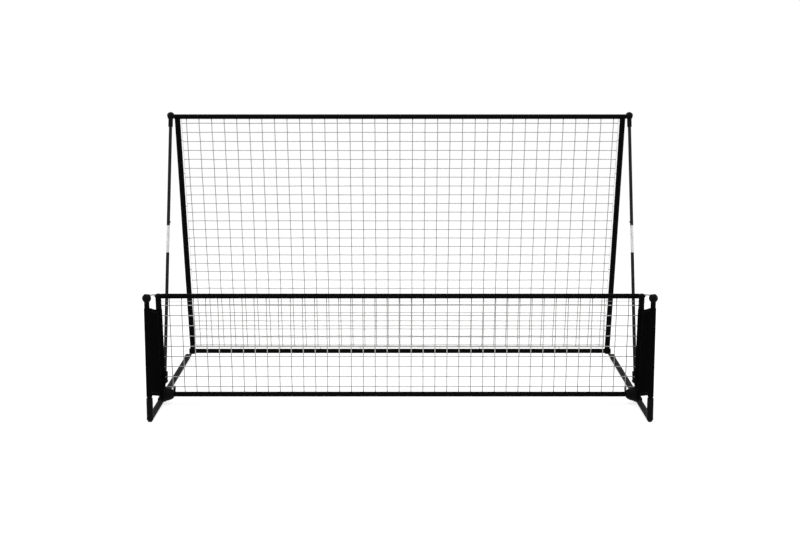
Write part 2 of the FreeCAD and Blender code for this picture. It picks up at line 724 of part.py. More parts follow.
def make_front_frame():
    top = front_point(0.0, size.front_length)
    bottom = front_point(0.0, 0.0)
    finish(coped_bar("front_top_bar", "front_half_width", top, FRONT_UP))
    whole = tube("front_bottom_bar_tube", "Sizes.bar_diameter", "Sizes.tube_wall",
                 "2 * (Sizes.hub_inner_face + Sizes.hub_bar_socket)",
                 (-(size.hub_inner_face + size.hub_bar_socket), bottom[1], bottom[2]), ACROSS)
    holes = [cylinder(f"front_bottom_bar_hole_{side}",
                      "Sizes.screw_diameter / 2 + Sizes.slip_gap", "Sizes.hub_ear_reach",
                      *hub_screw_places(sign)[2])
             for side, sign in SIDES]
    finish(cut("front_bottom_bar", whole, holes))
    plugs = []
    for side, sign in SIDES:
        name = f"front_side_tube_{side}"
        foot = front_point(sign * size.front_half_width, -bar_radius)
        whole = tube(name + "_tube", "Sizes.side_tube_diameter", "Sizes.tube_wall",
                     "Sizes.front_length + Sizes.bar_diameter / 2 + Sizes.front_tube_overhang",
                     foot, FRONT_UP)
        bolt_hole = cylinder(name + "_bolt_hole",
                             "Sizes.corner_bolt_diameter / 2 + Sizes.slip_gap",
                             "2 * Sizes.side_tube_diameter",
                             (sign * size.front_half_width - size.side_tube_diameter,
                              top[1], top[2]), ACROSS)
        socket = hub_screw_places(sign)[3]
        screw_hole = cylinder(name + "_screw_hole",
                              "Sizes.screw_diameter / 2 + Sizes.slip_gap",
                              "Sizes.hub_socket_wall + Sizes.side_tube_diameter / 2",
                              socket[0], socket[1])
        finish(cut(name, whole, [bolt_hole, screw_hole, stay_slot(name, sign)]))
        plugs.append(front_plug(f"front_corner_plug_{side}", sign))
    group("front_corner_plugs", plugs)
    inserts("front_bar_inserts", size.front_half_width, top, "Sizes.corner_bolt_diameter")
    corner_bolts("front_corner_bolts", size.front_half_width, top, "Sizes.corner_bolt_diameter",
                 "Sizes.corner_head_diameter", "Sizes.corner_head_height", side_radius)


def stay_slot(name, sign):
    """The slot, open at the top and the front, that takes the stay and its hook."""
    hook = stay_hook_point(sign)
    width = size.stay_rod_diameter + 2 * size.stay_slot_gap
    below = size.stay_rod_diameter / 2 + size.stay_rest_gap
    corner = shifted(shifted(hook, FRONT_UP, -below), FRONT_OUT, -size.side_tube_diameter)
    turn = FreeCAD.Rotation(vector(ACROSS), size.front_lean)
    return box(name + "_slot",
               ("Sizes.stay_rod_diameter + 2 * Sizes.stay_slot_gap",
                "Sizes.side_tube_diameter + Sizes.stay_rod_diameter / 2 + Sizes.stay_hook_gap",
                "Sizes.side_tube_diameter"),
               (corner[0] - width / 2, corner[1], corner[2]), turn)


def front_plug(name, sign):
    """The cap of a front side tube, with the slot that takes the stay."""
    end = front_point(sign * size.front_half_width, size.front_length + size.front_tube_overhang)
    down = tuple(-step for step in FRONT_UP)
    cap = dome(name + "_cap", "Sizes.side_tube_diameter / 2", "Sizes.front_plug_dome",
               end, FRONT_UP, side_radius, size.front_plug_dome)
    shank = cylinder(name + "_shank",
                     "Sizes.side_tube_diameter / 2 - Sizes.tube_wall - Sizes.slip_gap",
                     "Sizes.plug_shank", end, down)
    hook_hole = cylinder(name + "_hook_hole", "Sizes.stay_rod_diameter / 2 + Sizes.stay_hook_gap",
                         "2 * Sizes.stay_hook_length", stay_hook_point(sign),
                         stay_directions(sign)[1])
    return cut(name, fuse(name + "_solid", [cap, shank]), [stay_slot(name, sign), hook_hole])


# Nets: one flat face with a hole for each gap

def grid_lines(first, last, gaps):
    return [first + (last - first) * number / gaps for number in range(gaps + 1)]


def holed_sheet(name, columns, rows, place, cut_outs=()):
    """Cords of the net's thickness along every column and row line."""
    half = size.net_cord / 2
    low = (columns[0] - half, rows[0] - half)
    high = (columns[-1] + half, rows[-1] + half)
    wires = [rectangle(low, high)]
    for left, right in zip(columns, columns[1:]):
        for bottom, top in zip(rows, rows[1:]):
            wires.append(rectangle((left + half, bottom + half), (right - half, top - half)))
    face = Part.Face(wires[0])
    holes = [Part.Face(wire) for wire in wires[1:]]
    sheet = face.cut(Part.makeCompound(holes))
    for wire in cut_outs:
        sheet = sheet.cut(Part.Face(wire))
    sheet = sheet.Faces[0]
    solid = sheet.extrude(vector((0.0, 0.0, size.net_cord)))
    solid.translate(vector((0.0, 0.0, -half)))
    piece = doc.addObject("Part::Feature", name)
    piece.Shape = solid
    piece.Placement = place
    return finish(piece)


def rectangle(low, high):
    corners = ((low[0], low[1]), (high[0], low[1]), (high[0], high[1]), (low[0], high[1]))
    points = [vector((x, y, 0.0)) for x, y in corners]
    return Part.makePolygon(points + points[:1])


def frame_placement(foot, up):
    """Local X across, local Y up the frame, local Z out of its back."""
    across = vector(ACROSS)
    return FreeCAD.Placement(vector(foot), FreeCAD.Rotation(
        across, vector(up), across.cross(vector(up)), "ZXY"))


def make_front_net():
    """The net between the panels' sleeves, with both lower corners left out for the hubs."""
    half = size.net_cord / 2
    edge = (size.front_half_width - side_radius - size.soft_gap - size.panel_sleeve_thickness
            - size.net_gap - half)
    columns = ([-edge] + grid_lines(-size.front_net_half_width, size.front_net_half_width,
                                    int(size.front_net_columns)) + [edge])
    rows = ([bar_radius + size.net_gap + half]
            + grid_lines(size.front_net_bottom_row, size.front_net_top_row,
                         int(size.front_net_rows))
            + [size.front_net_edge_row])
    corner_height = size.net_gap + max(size.hub_diameter / 2, rows[1] + half)
    corner_start = (min(size.hub_inner_face, hub_ear_x(1.0) - size.hub_ear_diameter / 2)
                    - size.net_gap)
    corners = [rectangle((min(sign * corner_start, sign * (corner_start + size.hub_diameter)), 0.0),
                         (max(sign * corner_start, sign * (corner_start + size.hub_diameter)),
                          corner_height))
               for side, sign in SIDES]
    holed_sheet("front_net", columns, rows, frame_placement(front_point(0.0, 0.0), FRONT_UP),
                corners)


def make_rear_net():
    half = size.net_cord / 2
    columns = ([-size.rear_net_edge_half_width]
               + grid_lines(-size.rear_net_half_width, size.rear_net_half_width,
                            int(size.rear_net_columns))
               + [size.rear_net_edge_half_width])
    rows = ([size.rear_net_edge_row]
            + grid_lines(size.rear_net_bottom_row, size.rear_net_top_row,
                         int(size.rear_net_rows))
            + [size.rear_length - bar_radius - size.net_gap - half])
    holed_sheet("rear_net", columns, rows, frame_placement(rear_point(0.0, 0.0), REAR_UP))


def make_net_pegs():
    """Short pegs between the rear tubes and the net's edge cord."""
    half = size.net_cord / 2
    pegs = []
    radius = "Sizes.rear_peg_diameter / 2"
    side_length = ("Sizes.rear_half_width - Sizes.side_tube_diameter / 2"
                   " - Sizes.rear_net_edge_half_width - Sizes.net_cord / 2 - Sizes.soft_gap"
                   " + Sizes.rear_peg_overrun")
    spacing = (size.rear_net_top_row - size.rear_net_bottom_row) / size.rear_side_pegs
    for side, sign in SIDES:
        for number in range(int(size.rear_side_pegs)):
            along = size.rear_net_bottom_row + spacing * (number + 0.5)
            spot = rear_point(sign * (size.rear_net_edge_half_width + half + size.soft_gap), along)
            pegs.append(cylinder(f"rear_net_peg_{side}_{number}", radius, side_length, spot,
                                 (sign, 0.0, 0.0)))
    down = tuple(-step for step in REAR_UP)
    count = int(size.rear_bottom_pegs)
    for number, x in enumerate(grid_lines(-size.rear_net_half_width, size.rear_net_half_width,
                                          count + 1)[1:-1]):
        spot = rear_point(x, size.rear_net_edge_row - half - size.soft_gap)
        pegs.append(cylinder(f"rear_net_peg_bottom_{number}", radius,
                             "Sizes.rear_net_edge_row - Sizes.net_cord / 2 - Sizes.soft_gap"
                             " - Sizes.bar_diameter / 2 + Sizes.rear_peg_overrun",
                             spot, down))
    bar = cylinder("rear_net_peg_bar", "Sizes.bar_diameter / 2", "2 * Sizes.rear_half_width",
                   rear_point(-size.rear_half_width, 0.0), ACROSS)
    tubes = [cylinder(f"rear_net_peg_tube_{side}", "Sizes.side_tube_diameter / 2",
                      "Sizes.rear_length", rear_point(sign * size.rear_half_width, 0.0), REAR_UP)
             for side, sign in SIDES]
    trimmed = cut("rear_net_pegs", compound("rear_net_pegs_whole", pegs), [bar] + tubes)
    finish(trimmed)


def compound(name, pieces):
    piece = doc.addObject("Part::Compound", name)
    piece.Links = pieces
    return piece


# Fabric side panels

def make_side_panels():
    for side, sign in SIDES:
        name = f"side_panel_{side}"
        x_post = sign * size.rail_half_width
        x_tube = sign * size.front_half_width
        turn = math.degrees(math.atan2(x_post - x_tube, size.front_foot_back))
        body = plate(name + "_sheet", panel_outline(), "Sizes.panel_thickness",
                     (x_post, post_y, 0.0), turn)
        post_sleeve = cylinder(name + "_post_sleeve",
                               "Sizes.post_diameter / 2 + Sizes.soft_gap"
                               " + Sizes.panel_sleeve_thickness",
                               "Sizes.panel_post_top - Sizes.panel_post_bottom",
                               (x_post, post_y, size.panel_post_bottom), UP)
        start, end = panel_sleeve_span()
        tube_sleeve = cylinder(name + "_tube_sleeve",
                               "Sizes.side_tube_diameter / 2 + Sizes.soft_gap"
                               " + Sizes.panel_sleeve_thickness", f"{end - start}",
                               front_point(x_tube, start), FRONT_UP)
        post_space = cylinder(name + "_post_space", "Sizes.post_diameter / 2 + Sizes.soft_gap",
                              "Sizes.post_ball_height", (x_post, post_y, 0.0), UP)
        tube_space = cylinder(name + "_tube_space",
                              "Sizes.side_tube_diameter / 2 + Sizes.soft_gap",
                              "2 * Sizes.front_length",
                              front_point(x_tube, -size.front_length / 2), FRONT_UP)
        solid = fuse(name + "_solid", [body, post_sleeve, tube_sleeve])
        finish(cut(name, solid, [post_space, tube_space]))


def panel_sleeve_span():
    upright = math.cos(math.radians(size.front_lean))
    return ((size.panel_frame_bottom - size.front_foot_height) / upright,
            (size.panel_frame_top - size.front_foot_height) / upright)


def panel_outline():
    """The sheet's straight edges in (back, height)."""
    start, end = panel_sleeve_span()
    tube_low = front_point(0.0, start)
    tube_high = front_point(0.0, end)
    inside = post_radius / 2
    post_low = (inside, size.panel_post_bottom)
    post_high = (inside, size.panel_post_top)
    tab_low = (size.panel_tab_back, size.panel_tab_bottom)
    tab_high = (size.panel_tab_back, size.panel_frame_bottom)
    frame_low = (tube_low[1] - post_y, size.panel_frame_bottom)
    frame_high = (tube_high[1] - post_y, size.panel_frame_top)
    corners = [post_low, tab_low, tab_high, frame_low, frame_high, post_high]
    return [straight_edge(start, end)
            for start, end in zip(corners, corners[1:] + corners[:1])]


def straight_edge(start, end):
    return Part.LineSegment(vector((start[0], start[1], 0.0)), vector((end[0], end[1], 0.0)))


# Rear frame

def make_rear_frame():
    top = rear_point(0.0, size.rear_length)
    bottom = rear_point(0.0, 0.0)
    bar_end = size.rear_half_width + side_radius
    finish(tube("rear_top_bar", "Sizes.bar_diameter", "Sizes.tube_wall",
                "2 * Sizes.rear_half_width + Sizes.side_tube_diameter",
                (-bar_end, top[1], top[2]), ACROSS))
    finish(coped_bar("rear_bottom_bar", "rear_half_width", bottom, REAR_UP))
    plugs = []
    for side, sign in SIDES:
        name = f"rear_side_tube_{side}"
        x = sign * size.rear_half_width
        whole = tube(name + "_tube", "Sizes.side_tube_diameter", "Sizes.tube_wall",
                     "Sizes.rear_length - Sizes.rear_tube_top_drop + Sizes.rear_tube_overhang",
                     rear_point(x, -size.rear_tube_overhang), REAR_UP)
        across = [cylinder(f"{name}_{place}", radius, "2 * Sizes.side_tube_diameter",
                           (x - size.side_tube_diameter, at[1], at[2]), ACROSS)
                  for place, at, radius in (
                      ("top_cope", top, "Sizes.bar_diameter / 2"),
                      ("bottom_hole", bottom, "Sizes.hinge_bolt_diameter / 2 + Sizes.slip_gap"))]
        finish(cut(name, whole, across))
        plugs.append(flat_plug(f"rear_tube_plug_{side}", rear_point(x, -size.rear_tube_overhang),
                               tuple(-step for step in REAR_UP)))
    group("rear_tube_plugs", plugs)
    inserts("rear_top_inserts", size.rear_half_width + size.side_tube_diameter, top,
            "Sizes.corner_bolt_diameter")
    inserts("rear_bottom_inserts", size.rear_half_width, bottom, "Sizes.hinge_bolt_diameter")


def flat_plug(name, end, outward):
    cap = cylinder(name + "_cap", "Sizes.side_tube_diameter / 2", "Sizes.rear_plug_cap",
                   end, outward)
    shank = cylinder(name + "_shank",
                     "Sizes.side_tube_diameter / 2 - Sizes.tube_wall - Sizes.slip_gap",
                     "Sizes.plug_shank", end, tuple(-step for step in outward))
    return fuse(name, [cap, shank])


# Rear hinge: angle brackets on the rails, countersunk bolts and washers

def make_rear_hinge():
    bolts, washers, screws = [], [], []
    hinge = rear_point(0.0, 0.0)
    face = size.rear_half_width + side_radius
    web_x = face + size.hinge_washer_thickness + 3 * size.slip_gap
    for side, sign in SIDES:
        outward = (sign, 0.0, 0.0)
        inward = (-sign, 0.0, 0.0)
        outer = (sign * (web_x + size.bracket_thickness), hinge[1], hinge[2])
        make_bracket(f"rear_bracket_{side}", sign, web_x, hinge, outer)
        shank = cylinder(f"hinge_bolt_{side}_shank", "Sizes.hinge_bolt_diameter / 2",
                         "Sizes.bolt_length + Sizes.side_tube_diameter / 2", outer, inward)
        head = cone(f"hinge_bolt_{side}_head", "Sizes.hinge_head_diameter / 2",
                    "Sizes.hinge_bolt_diameter / 2", "Sizes.bracket_thickness", outer, inward)
        bolts.append(fuse(f"hinge_bolt_{side}", [shank, head]))
        seat = (sign * (face + size.slip_gap), hinge[1], hinge[2])
        disc = cylinder(f"hinge_washer_{side}_disc", "Sizes.hinge_washer_diameter / 2",
                        "Sizes.hinge_washer_thickness", seat, outward)
        hole = cylinder(f"hinge_washer_{side}_hole",
                        "Sizes.hinge_bolt_diameter / 2 + Sizes.slip_gap",
                        "2 * Sizes.hinge_washer_thickness",
                        shifted(seat, outward, -size.hinge_washer_thickness / 2), outward)
        washers.append(cut(f"hinge_washer_{side}", disc, [hole]))
        top = size.rail_diameter + size.slip_gap + size.bracket_thickness
        for number, y in enumerate(rail_screw_places()[2:]):
            screws.append(screw(f"bracket_screw_{side}_{number}",
                                (sign * size.rail_half_width, y, top), (0.0, 0.0, -1.0),
                                "Sizes.screw_diameter", "Sizes.screw_length",
                                "Sizes.screw_head_diameter", "Sizes.screw_head_height"))
    group("hinge_bolts", bolts)
    group("hinge_washers", washers)
    group("bracket_screws", screws)


def bracket_outline():
    """A web that narrows from the flange on the rail up to the boss round the bolt."""
    low = size.rail_diameter + size.slip_gap
    boss = (size.rear_hinge_back, size.rear_hinge_height)
    toe = (size.bracket_start, low)
    heel = (size.bracket_end, low)
    heel_top = (size.bracket_end, low + size.bracket_heel_height)
    radius = size.bracket_boss_diameter / 2
    corners = [toe, heel, heel_top, tangent_point(heel_top, boss, radius, 1.0),
               boss, tangent_point(toe, boss, radius, -1.0)]
    return [straight_edge(start, end)
            for start, end in zip(corners, corners[1:] + corners[:1])]


def tangent_point(outside, centre, radius, side):
    """Where a line from an outside point touches a circle; side picks which of the two."""
    toward = math.atan2(outside[1] - centre[1], outside[0] - centre[0])
    angle = toward + side * math.acos(radius / math.dist(outside, centre))
    return (centre[0] + radius * math.cos(angle), centre[1] + radius * math.sin(angle))


def make_bracket(name, sign, web_x, hinge, outer):
    thickness = size.bracket_thickness
    low = size.rail_diameter + size.slip_gap
    start = post_y + size.bracket_start
    boss = cylinder(name + "_boss", "Sizes.bracket_boss_diameter / 2", "Sizes.bracket_thickness",
                    (sign * web_x, hinge[1], hinge[2]), (sign, 0.0, 0.0))
    web = plate(name + "_web", bracket_outline(), "Sizes.bracket_thickness",
                (sign * (web_x + thickness / 2), post_y, 0.0))
    flange = box(name + "_flange",
                 ("Sizes.bracket_flange_width", "Sizes.bracket_end - Sizes.bracket_start",
                  "Sizes.bracket_thickness"),
                 (min(sign * web_x, sign * (web_x + size.bracket_flange_width)), start, low))
    seat = cone(name + "_seat", "Sizes.hinge_head_diameter / 2 + Sizes.running_gap",
                "Sizes.hinge_bolt_diameter / 2 + Sizes.running_gap",
                "Sizes.bracket_thickness", outer, (-sign, 0.0, 0.0))
    bore = cylinder(name + "_bore", "Sizes.hinge_bolt_diameter / 2 + Sizes.running_gap",
                    "3 * Sizes.bracket_thickness", shifted(outer, (sign, 0, 0), thickness),
                    (-sign, 0.0, 0.0))
    holes = [cylinder(f"{name}_screw_hole_{number}",
                      "Sizes.screw_diameter / 2 + Sizes.slip_gap", "3 * Sizes.bracket_thickness",
                      (sign * size.rail_half_width, y, low - thickness), UP)
             for number, y in enumerate(rail_screw_places()[2:])]
    finish(cut(name, fuse(name + "_solid", [boss, web, flange]), [seat, bore] + holes))


# Telescopic struts

def strut_top(sign):
    return rear_point(sign * size.strut_ball_half_width, size.rear_length)


def strut_axis(sign):
    foot, top = strut_foot(sign), strut_top(sign)
    steps = [high - low for low, high in zip(foot, top)]
    length = math.hypot(*steps)
    return tuple(step / length for step in steps), length


def make_struts():
    bolts, washers, pins = [], [], []
    for side, sign in SIDES:
        foot, top = strut_foot(sign), strut_top(sign)
        axis, length = strut_axis(sign)
        make_fork(f"strut_fork_{side}", foot, axis)
        rivet_spot = shifted(foot, axis, size.strut_rivet_place)
        rivet_start = shifted(rivet_spot, ACROSS, -size.strut_diameter / 2)
        rivet_hole = cylinder(f"strut_rivet_hole_{side}",
                              "Sizes.strut_rivet_diameter / 2 + Sizes.running_gap",
                              "2 * Sizes.strut_diameter",
                              shifted(rivet_spot, ACROSS, -size.strut_diameter), ACROSS)
        lower = tube(f"strut_lower_{side}_whole", "Sizes.strut_diameter", "Sizes.strut_wall",
                     "Sizes.strut_lower_end - Sizes.strut_fork_floor",
                     shifted(foot, axis, size.strut_fork_floor), axis)
        finish(cut(f"strut_lower_tube_{side}", lower, [rivet_hole]))
        inner = tube(f"strut_inner_{side}_whole", "Sizes.inner_tube_diameter",
                     "Sizes.inner_tube_wall", "Sizes.strut_inner_end - Sizes.strut_inner_start",
                     shifted(foot, axis, size.strut_inner_start), axis)
        finish(cut(f"strut_inner_tube_{side}", inner, [rivet_hole]))
        finish(cylinder(f"strut_rivet_{side}", "Sizes.strut_rivet_diameter / 2",
                        "Sizes.strut_diameter", rivet_start, ACROSS))
        make_upper(side, foot, axis, length)
        make_strut_ball(f"strut_ball_{side}", sign, top, axis)
        pins.append(strut_pin(f"strut_base_pin_{side}", sign, foot))
    group("strut_base_pins", pins)
    make_top_bolts()


def make_fork(name, foot, axis):
    ball = sphere(name + "_end", "Sizes.strut_fork_diameter / 2", foot)
    barrel = cylinder(name + "_barrel", "Sizes.strut_fork_diameter / 2",
                      "Sizes.strut_fork_length", foot, axis)
    slot_width = size.hub_fin_thickness + 2 * size.strut_fork_play
    reach = size.strut_fork_diameter
    tilt = FreeCAD.Rotation(vector(UP), vector((0.0, axis[1], axis[2])))
    corner = tilt.multVec(vector((-slot_width / 2, -reach, -reach)))
    slot = box(name + "_slot",
               ("Sizes.hub_fin_thickness + 2 * Sizes.strut_fork_play",
                "2 * Sizes.strut_fork_diameter",
                "Sizes.strut_fork_diameter + Sizes.strut_fork_slot"),
               (foot[0] + corner.x, foot[1] + corner.y, foot[2] + corner.z), tilt)
    pin = cylinder(name + "_pin_hole", "Sizes.strut_pin_diameter / 2 + Sizes.running_gap",
                   "2 * Sizes.strut_fork_diameter",
                   shifted(foot, ACROSS, -size.strut_fork_diameter), ACROSS)
    socket = cylinder(name + "_socket", "Sizes.strut_diameter / 2 + Sizes.slip_gap",
                      "Sizes.strut_fork_length", shifted(foot, axis, size.strut_fork_floor), axis)
    finish(cut(name, fuse(name + "_solid", [ball, barrel]), [slot, pin, socket]))


def strut_pin(name, sign, foot):
    """The pin through a fork: a head on the inner side and a short end on the outer side."""
    half = size.strut_fork_diameter / 2 + size.slip_gap
    start = shifted(foot, ACROSS, -sign * half)
    shank = cylinder(name + "_shank", "Sizes.strut_pin_diameter / 2",
                     "Sizes.strut_fork_diameter + 2 * Sizes.slip_gap + Sizes.strut_pin_end",
                     start, (sign, 0.0, 0.0))
    head = dome(name + "_head", "Sizes.strut_pin_head_diameter / 2", "Sizes.strut_pin_head",
                start, (-sign, 0.0, 0.0), size.strut_pin_head_diameter / 2, size.strut_pin_head)
    return fuse(name, [shank, head])


def make_upper(side, foot, axis, length):
    """The upper tube with the clamp nut and the thumbscrew on its rear side."""
    rearward = (0.0, axis[2], -axis[1])
    whole = tube(f"strut_upper_{side}_whole", "Sizes.strut_diameter", "Sizes.strut_wall",
                 f"{length - size.strut_sleeve_floor} - Sizes.strut_upper_start",
                 shifted(foot, axis, size.strut_upper_start), axis)
    spot = shifted(foot, axis, size.strut_nut_place)
    hole = cylinder(f"strut_upper_{side}_hole",
                    "Sizes.thumbscrew_diameter / 2 + Sizes.running_gap",
                    "Sizes.strut_diameter", spot, rearward)
    finish(cut(f"strut_upper_tube_{side}", whole, [hole]))
    block = cylinder(f"strut_nut_{side}_block", "Sizes.strut_nut_diameter / 2",
                     "Sizes.strut_diameter / 2 + Sizes.strut_nut_height", spot, rearward)
    tube_space = cylinder(f"strut_nut_{side}_tube", "Sizes.strut_diameter / 2",
                          "4 * Sizes.strut_nut_diameter",
                          shifted(spot, axis, -2 * size.strut_nut_diameter), axis)
    nut_hole = cylinder(f"strut_nut_{side}_hole",
                        "Sizes.thumbscrew_diameter / 2 + Sizes.running_gap",
                        "2 * Sizes.strut_diameter", spot, rearward)
    finish(cut(f"strut_nut_{side}", block, [tube_space, nut_hole]))
    tip = size.inner_tube_diameter / 2 + 2 * size.slip_gap
    seat = size.strut_diameter / 2 + size.strut_nut_height + size.thumbscrew_knob_gap
    shank = cylinder(f"thumbscrew_{side}_shank", "Sizes.thumbscrew_diameter / 2",
                     f"{seat - tip}", shifted(spot, rearward, tip), rearward)
    knob = cylinder(f"thumbscrew_{side}_knob", "Sizes.thumbscrew_knob_diameter / 2",
                    "Sizes.thumbscrew_knob_height", shifted(spot, rearward, seat), rearward)
    finish(fuse(f"thumbscrew_{side}", [shank, knob]))


def make_strut_ball(name, sign, top, axis):
    ball = sphere(name + "_sphere", "Sizes.strut_ball_diameter / 2",
                  shifted(top, axis, size.strut_ball_rise))
    down = tuple(-step for step in axis)
    sleeve = cylinder(name + "_sleeve", "Sizes.strut_sleeve_diameter / 2",
                      "Sizes.strut_sleeve_length", top, down)
    bore = cylinder(name + "_bore", "Sizes.strut_ball_bore_diameter / 2",
                    "2 * Sizes.strut_ball_diameter",
                    shifted(top, ACROSS, -size.strut_ball_diameter), ACROSS)
    socket = cylinder(name + "_socket", "Sizes.strut_diameter / 2 + Sizes.slip_gap",
                      "Sizes.strut_sleeve_length", shifted(top, axis, -size.strut_sleeve_floor),
                      down)
    reach = size.strut_ball_diameter
    edge = strut_ball_inner_face()
    start = min(sign * edge, sign * (edge - reach))
    flat = box(f"{name}_inner_flat",
               ("Sizes.strut_ball_diameter", "2 * Sizes.strut_ball_diameter",
                "2 * Sizes.strut_ball_diameter"),
               (start, top[1] - reach, top[2] - reach))
    recess = cylinder(name + "_recess",
                      "(Sizes.corner_head_diameter + Sizes.strut_ball_bore_diameter"
                      " - Sizes.corner_bolt_diameter) / 2", "Sizes.strut_ball_diameter",
                      shifted(top, ACROSS, sign * size.strut_ball_seat), (sign, 0.0, 0.0))
    finish(cut(name, fuse(name + "_solid", [ball, sleeve]), [bore, socket, flat, recess]))


def strut_ball_inner_face():
    return (size.rear_half_width + side_radius + size.slip_gap
            + size.hinge_washer_thickness + size.strut_ball_side_gap)


def make_top_bolts():
    """Shoulder bolts sunk in the strut balls, with a washer on the frame side."""
    at = rear_point(0.0, size.rear_length)
    head_x = size.strut_ball_half_width + size.strut_ball_seat + size.strut_ball_side_gap
    corner_bolts("strut_top_bolts", size.rear_half_width, at, "Sizes.corner_bolt_diameter",
                 "Sizes.corner_head_diameter", "Sizes.corner_head_height",
                 head_x - size.rear_half_width)
    washers = []
    for side, sign in SIDES:
        outward = (sign, 0.0, 0.0)
        seat = (sign * (size.rear_half_width + side_radius + size.slip_gap), at[1], at[2])
        disc = cylinder(f"strut_top_washer_{side}_disc", "Sizes.hinge_washer_diameter / 2",
                        "Sizes.hinge_washer_thickness", seat, outward)
        hole = cylinder(f"strut_top_washer_{side}_hole",
                        "Sizes.corner_bolt_diameter / 2 + Sizes.slip_gap",
                        "2 * Sizes.hinge_washer_thickness",
                        shifted(seat, outward, -size.hinge_washer_thickness / 2), outward)
        washers.append(cut(f"strut_top_washer_{side}", disc, [hole]))
    group("strut_top_washers", washers)


def check_document():
    """Every object built without an error, and every sub-part a valid shape."""
    for piece in doc.Objects:
        bad = {"Invalid", "Error"} & set(piece.State)
        assert not bad, f"{piece.Label} failed to build"
    for piece in finished:
        shape = piece.Shape
        assert not shape.isNull() and shape.isValid() and shape.Solids, piece.Label


make_rails()
make_posts()
make_stays()
make_hubs()
make_front_frame()
make_front_net()
make_side_panels()
make_rear_frame()
make_rear_net()
make_net_pegs()
make_rear_hinge()
make_struts()
doc.recompute()
check_document()
for piece in finished:
    piece.Shape.exportStep(f"parts/{piece.Label}.step")
    print(piece.Label, len(piece.Shape.Solids), "solids, volume", round(piece.Shape.Volume))
print(len(finished), "nodes")
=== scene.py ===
"""Pitch back rebounder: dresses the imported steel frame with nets, cloth panels and finishes."""

import json
import math
import random

import bpy
from bpy.props import FloatProperty, FloatVectorProperty, IntProperty, PointerProperty
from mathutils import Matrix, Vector


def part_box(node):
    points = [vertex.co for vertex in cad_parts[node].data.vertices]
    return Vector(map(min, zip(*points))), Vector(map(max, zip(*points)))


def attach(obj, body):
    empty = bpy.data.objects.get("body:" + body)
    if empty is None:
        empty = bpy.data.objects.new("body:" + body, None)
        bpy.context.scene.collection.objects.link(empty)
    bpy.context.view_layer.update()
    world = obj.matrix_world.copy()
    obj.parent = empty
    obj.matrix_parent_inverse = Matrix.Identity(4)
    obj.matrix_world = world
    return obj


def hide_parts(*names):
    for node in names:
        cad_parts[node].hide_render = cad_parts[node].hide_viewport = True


bl_info = {
    "name": "Pitch Back Rebounder",
    "version": (1, 0, 0),
    "blender": (4, 5, 0),
    "location": "View3D > Sidebar > Rebounder",
    "description": "Builds the nets, side panels and finishes of a pitch back rebounder",
    "category": "Object",
}

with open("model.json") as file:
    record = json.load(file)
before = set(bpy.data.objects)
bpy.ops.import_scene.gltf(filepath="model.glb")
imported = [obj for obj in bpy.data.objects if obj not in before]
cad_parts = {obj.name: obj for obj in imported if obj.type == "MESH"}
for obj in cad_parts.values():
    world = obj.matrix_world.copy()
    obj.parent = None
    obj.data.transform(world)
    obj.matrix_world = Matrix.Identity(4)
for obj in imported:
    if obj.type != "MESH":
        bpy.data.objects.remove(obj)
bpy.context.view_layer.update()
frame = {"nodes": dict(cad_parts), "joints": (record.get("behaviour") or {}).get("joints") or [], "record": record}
MM = 0.001
SIDES = (("left", -1.0), ("right", 1.0))


# Sizes of the frame that the nets and panels fit, and the gap left where they come up to it

BAR_DIAMETER, TUBE_DIAMETER, POST_DIAMETER = 19.0 * MM, 22.0 * MM, 19.0 * MM
HUB_RAIL_GAP, HUB_WIDTH, HUB_TIP_RADIUS = 1.0 * MM, 42.7 * MM, 22.0 * MM
CONTACT = 0.1 * MM

# The cloth of one side panel: its cut, and its heights on the post, the side tube and the free tab
PANEL_POST_BOTTOM, PANEL_POST_TOP = 95.0 * MM, 423.5 * MM
PANEL_TUBE_BOTTOM, PANEL_TUBE_TOP = 74.0 * MM, 377.0 * MM
PANEL_TAB_BOTTOM = 34.0 * MM
# From the post's axis back to the tab's free edge, and the play of a sleeve on its tube
PANEL_TAB_BACK = 235.0 * MM
SLEEVE_FIT = 0.4 * MM


# Sizes and colours that a user would change


def length_property(label, millimetres, description, least=0.0):
    """A length in metres, from its default and its least value in millimetres."""
    return FloatProperty(name=label, description=description, default=millimetres * MM,
                         min=least * MM, unit="LENGTH")


def count_property(label, default, description):
    return IntProperty(name=label, description=description, default=default, min=3)


def colour_property(label, default, description):
    return FloatVectorProperty(name=label, description=description, default=default,
                               subtype="COLOR", size=3, min=0.0, max=1.0)


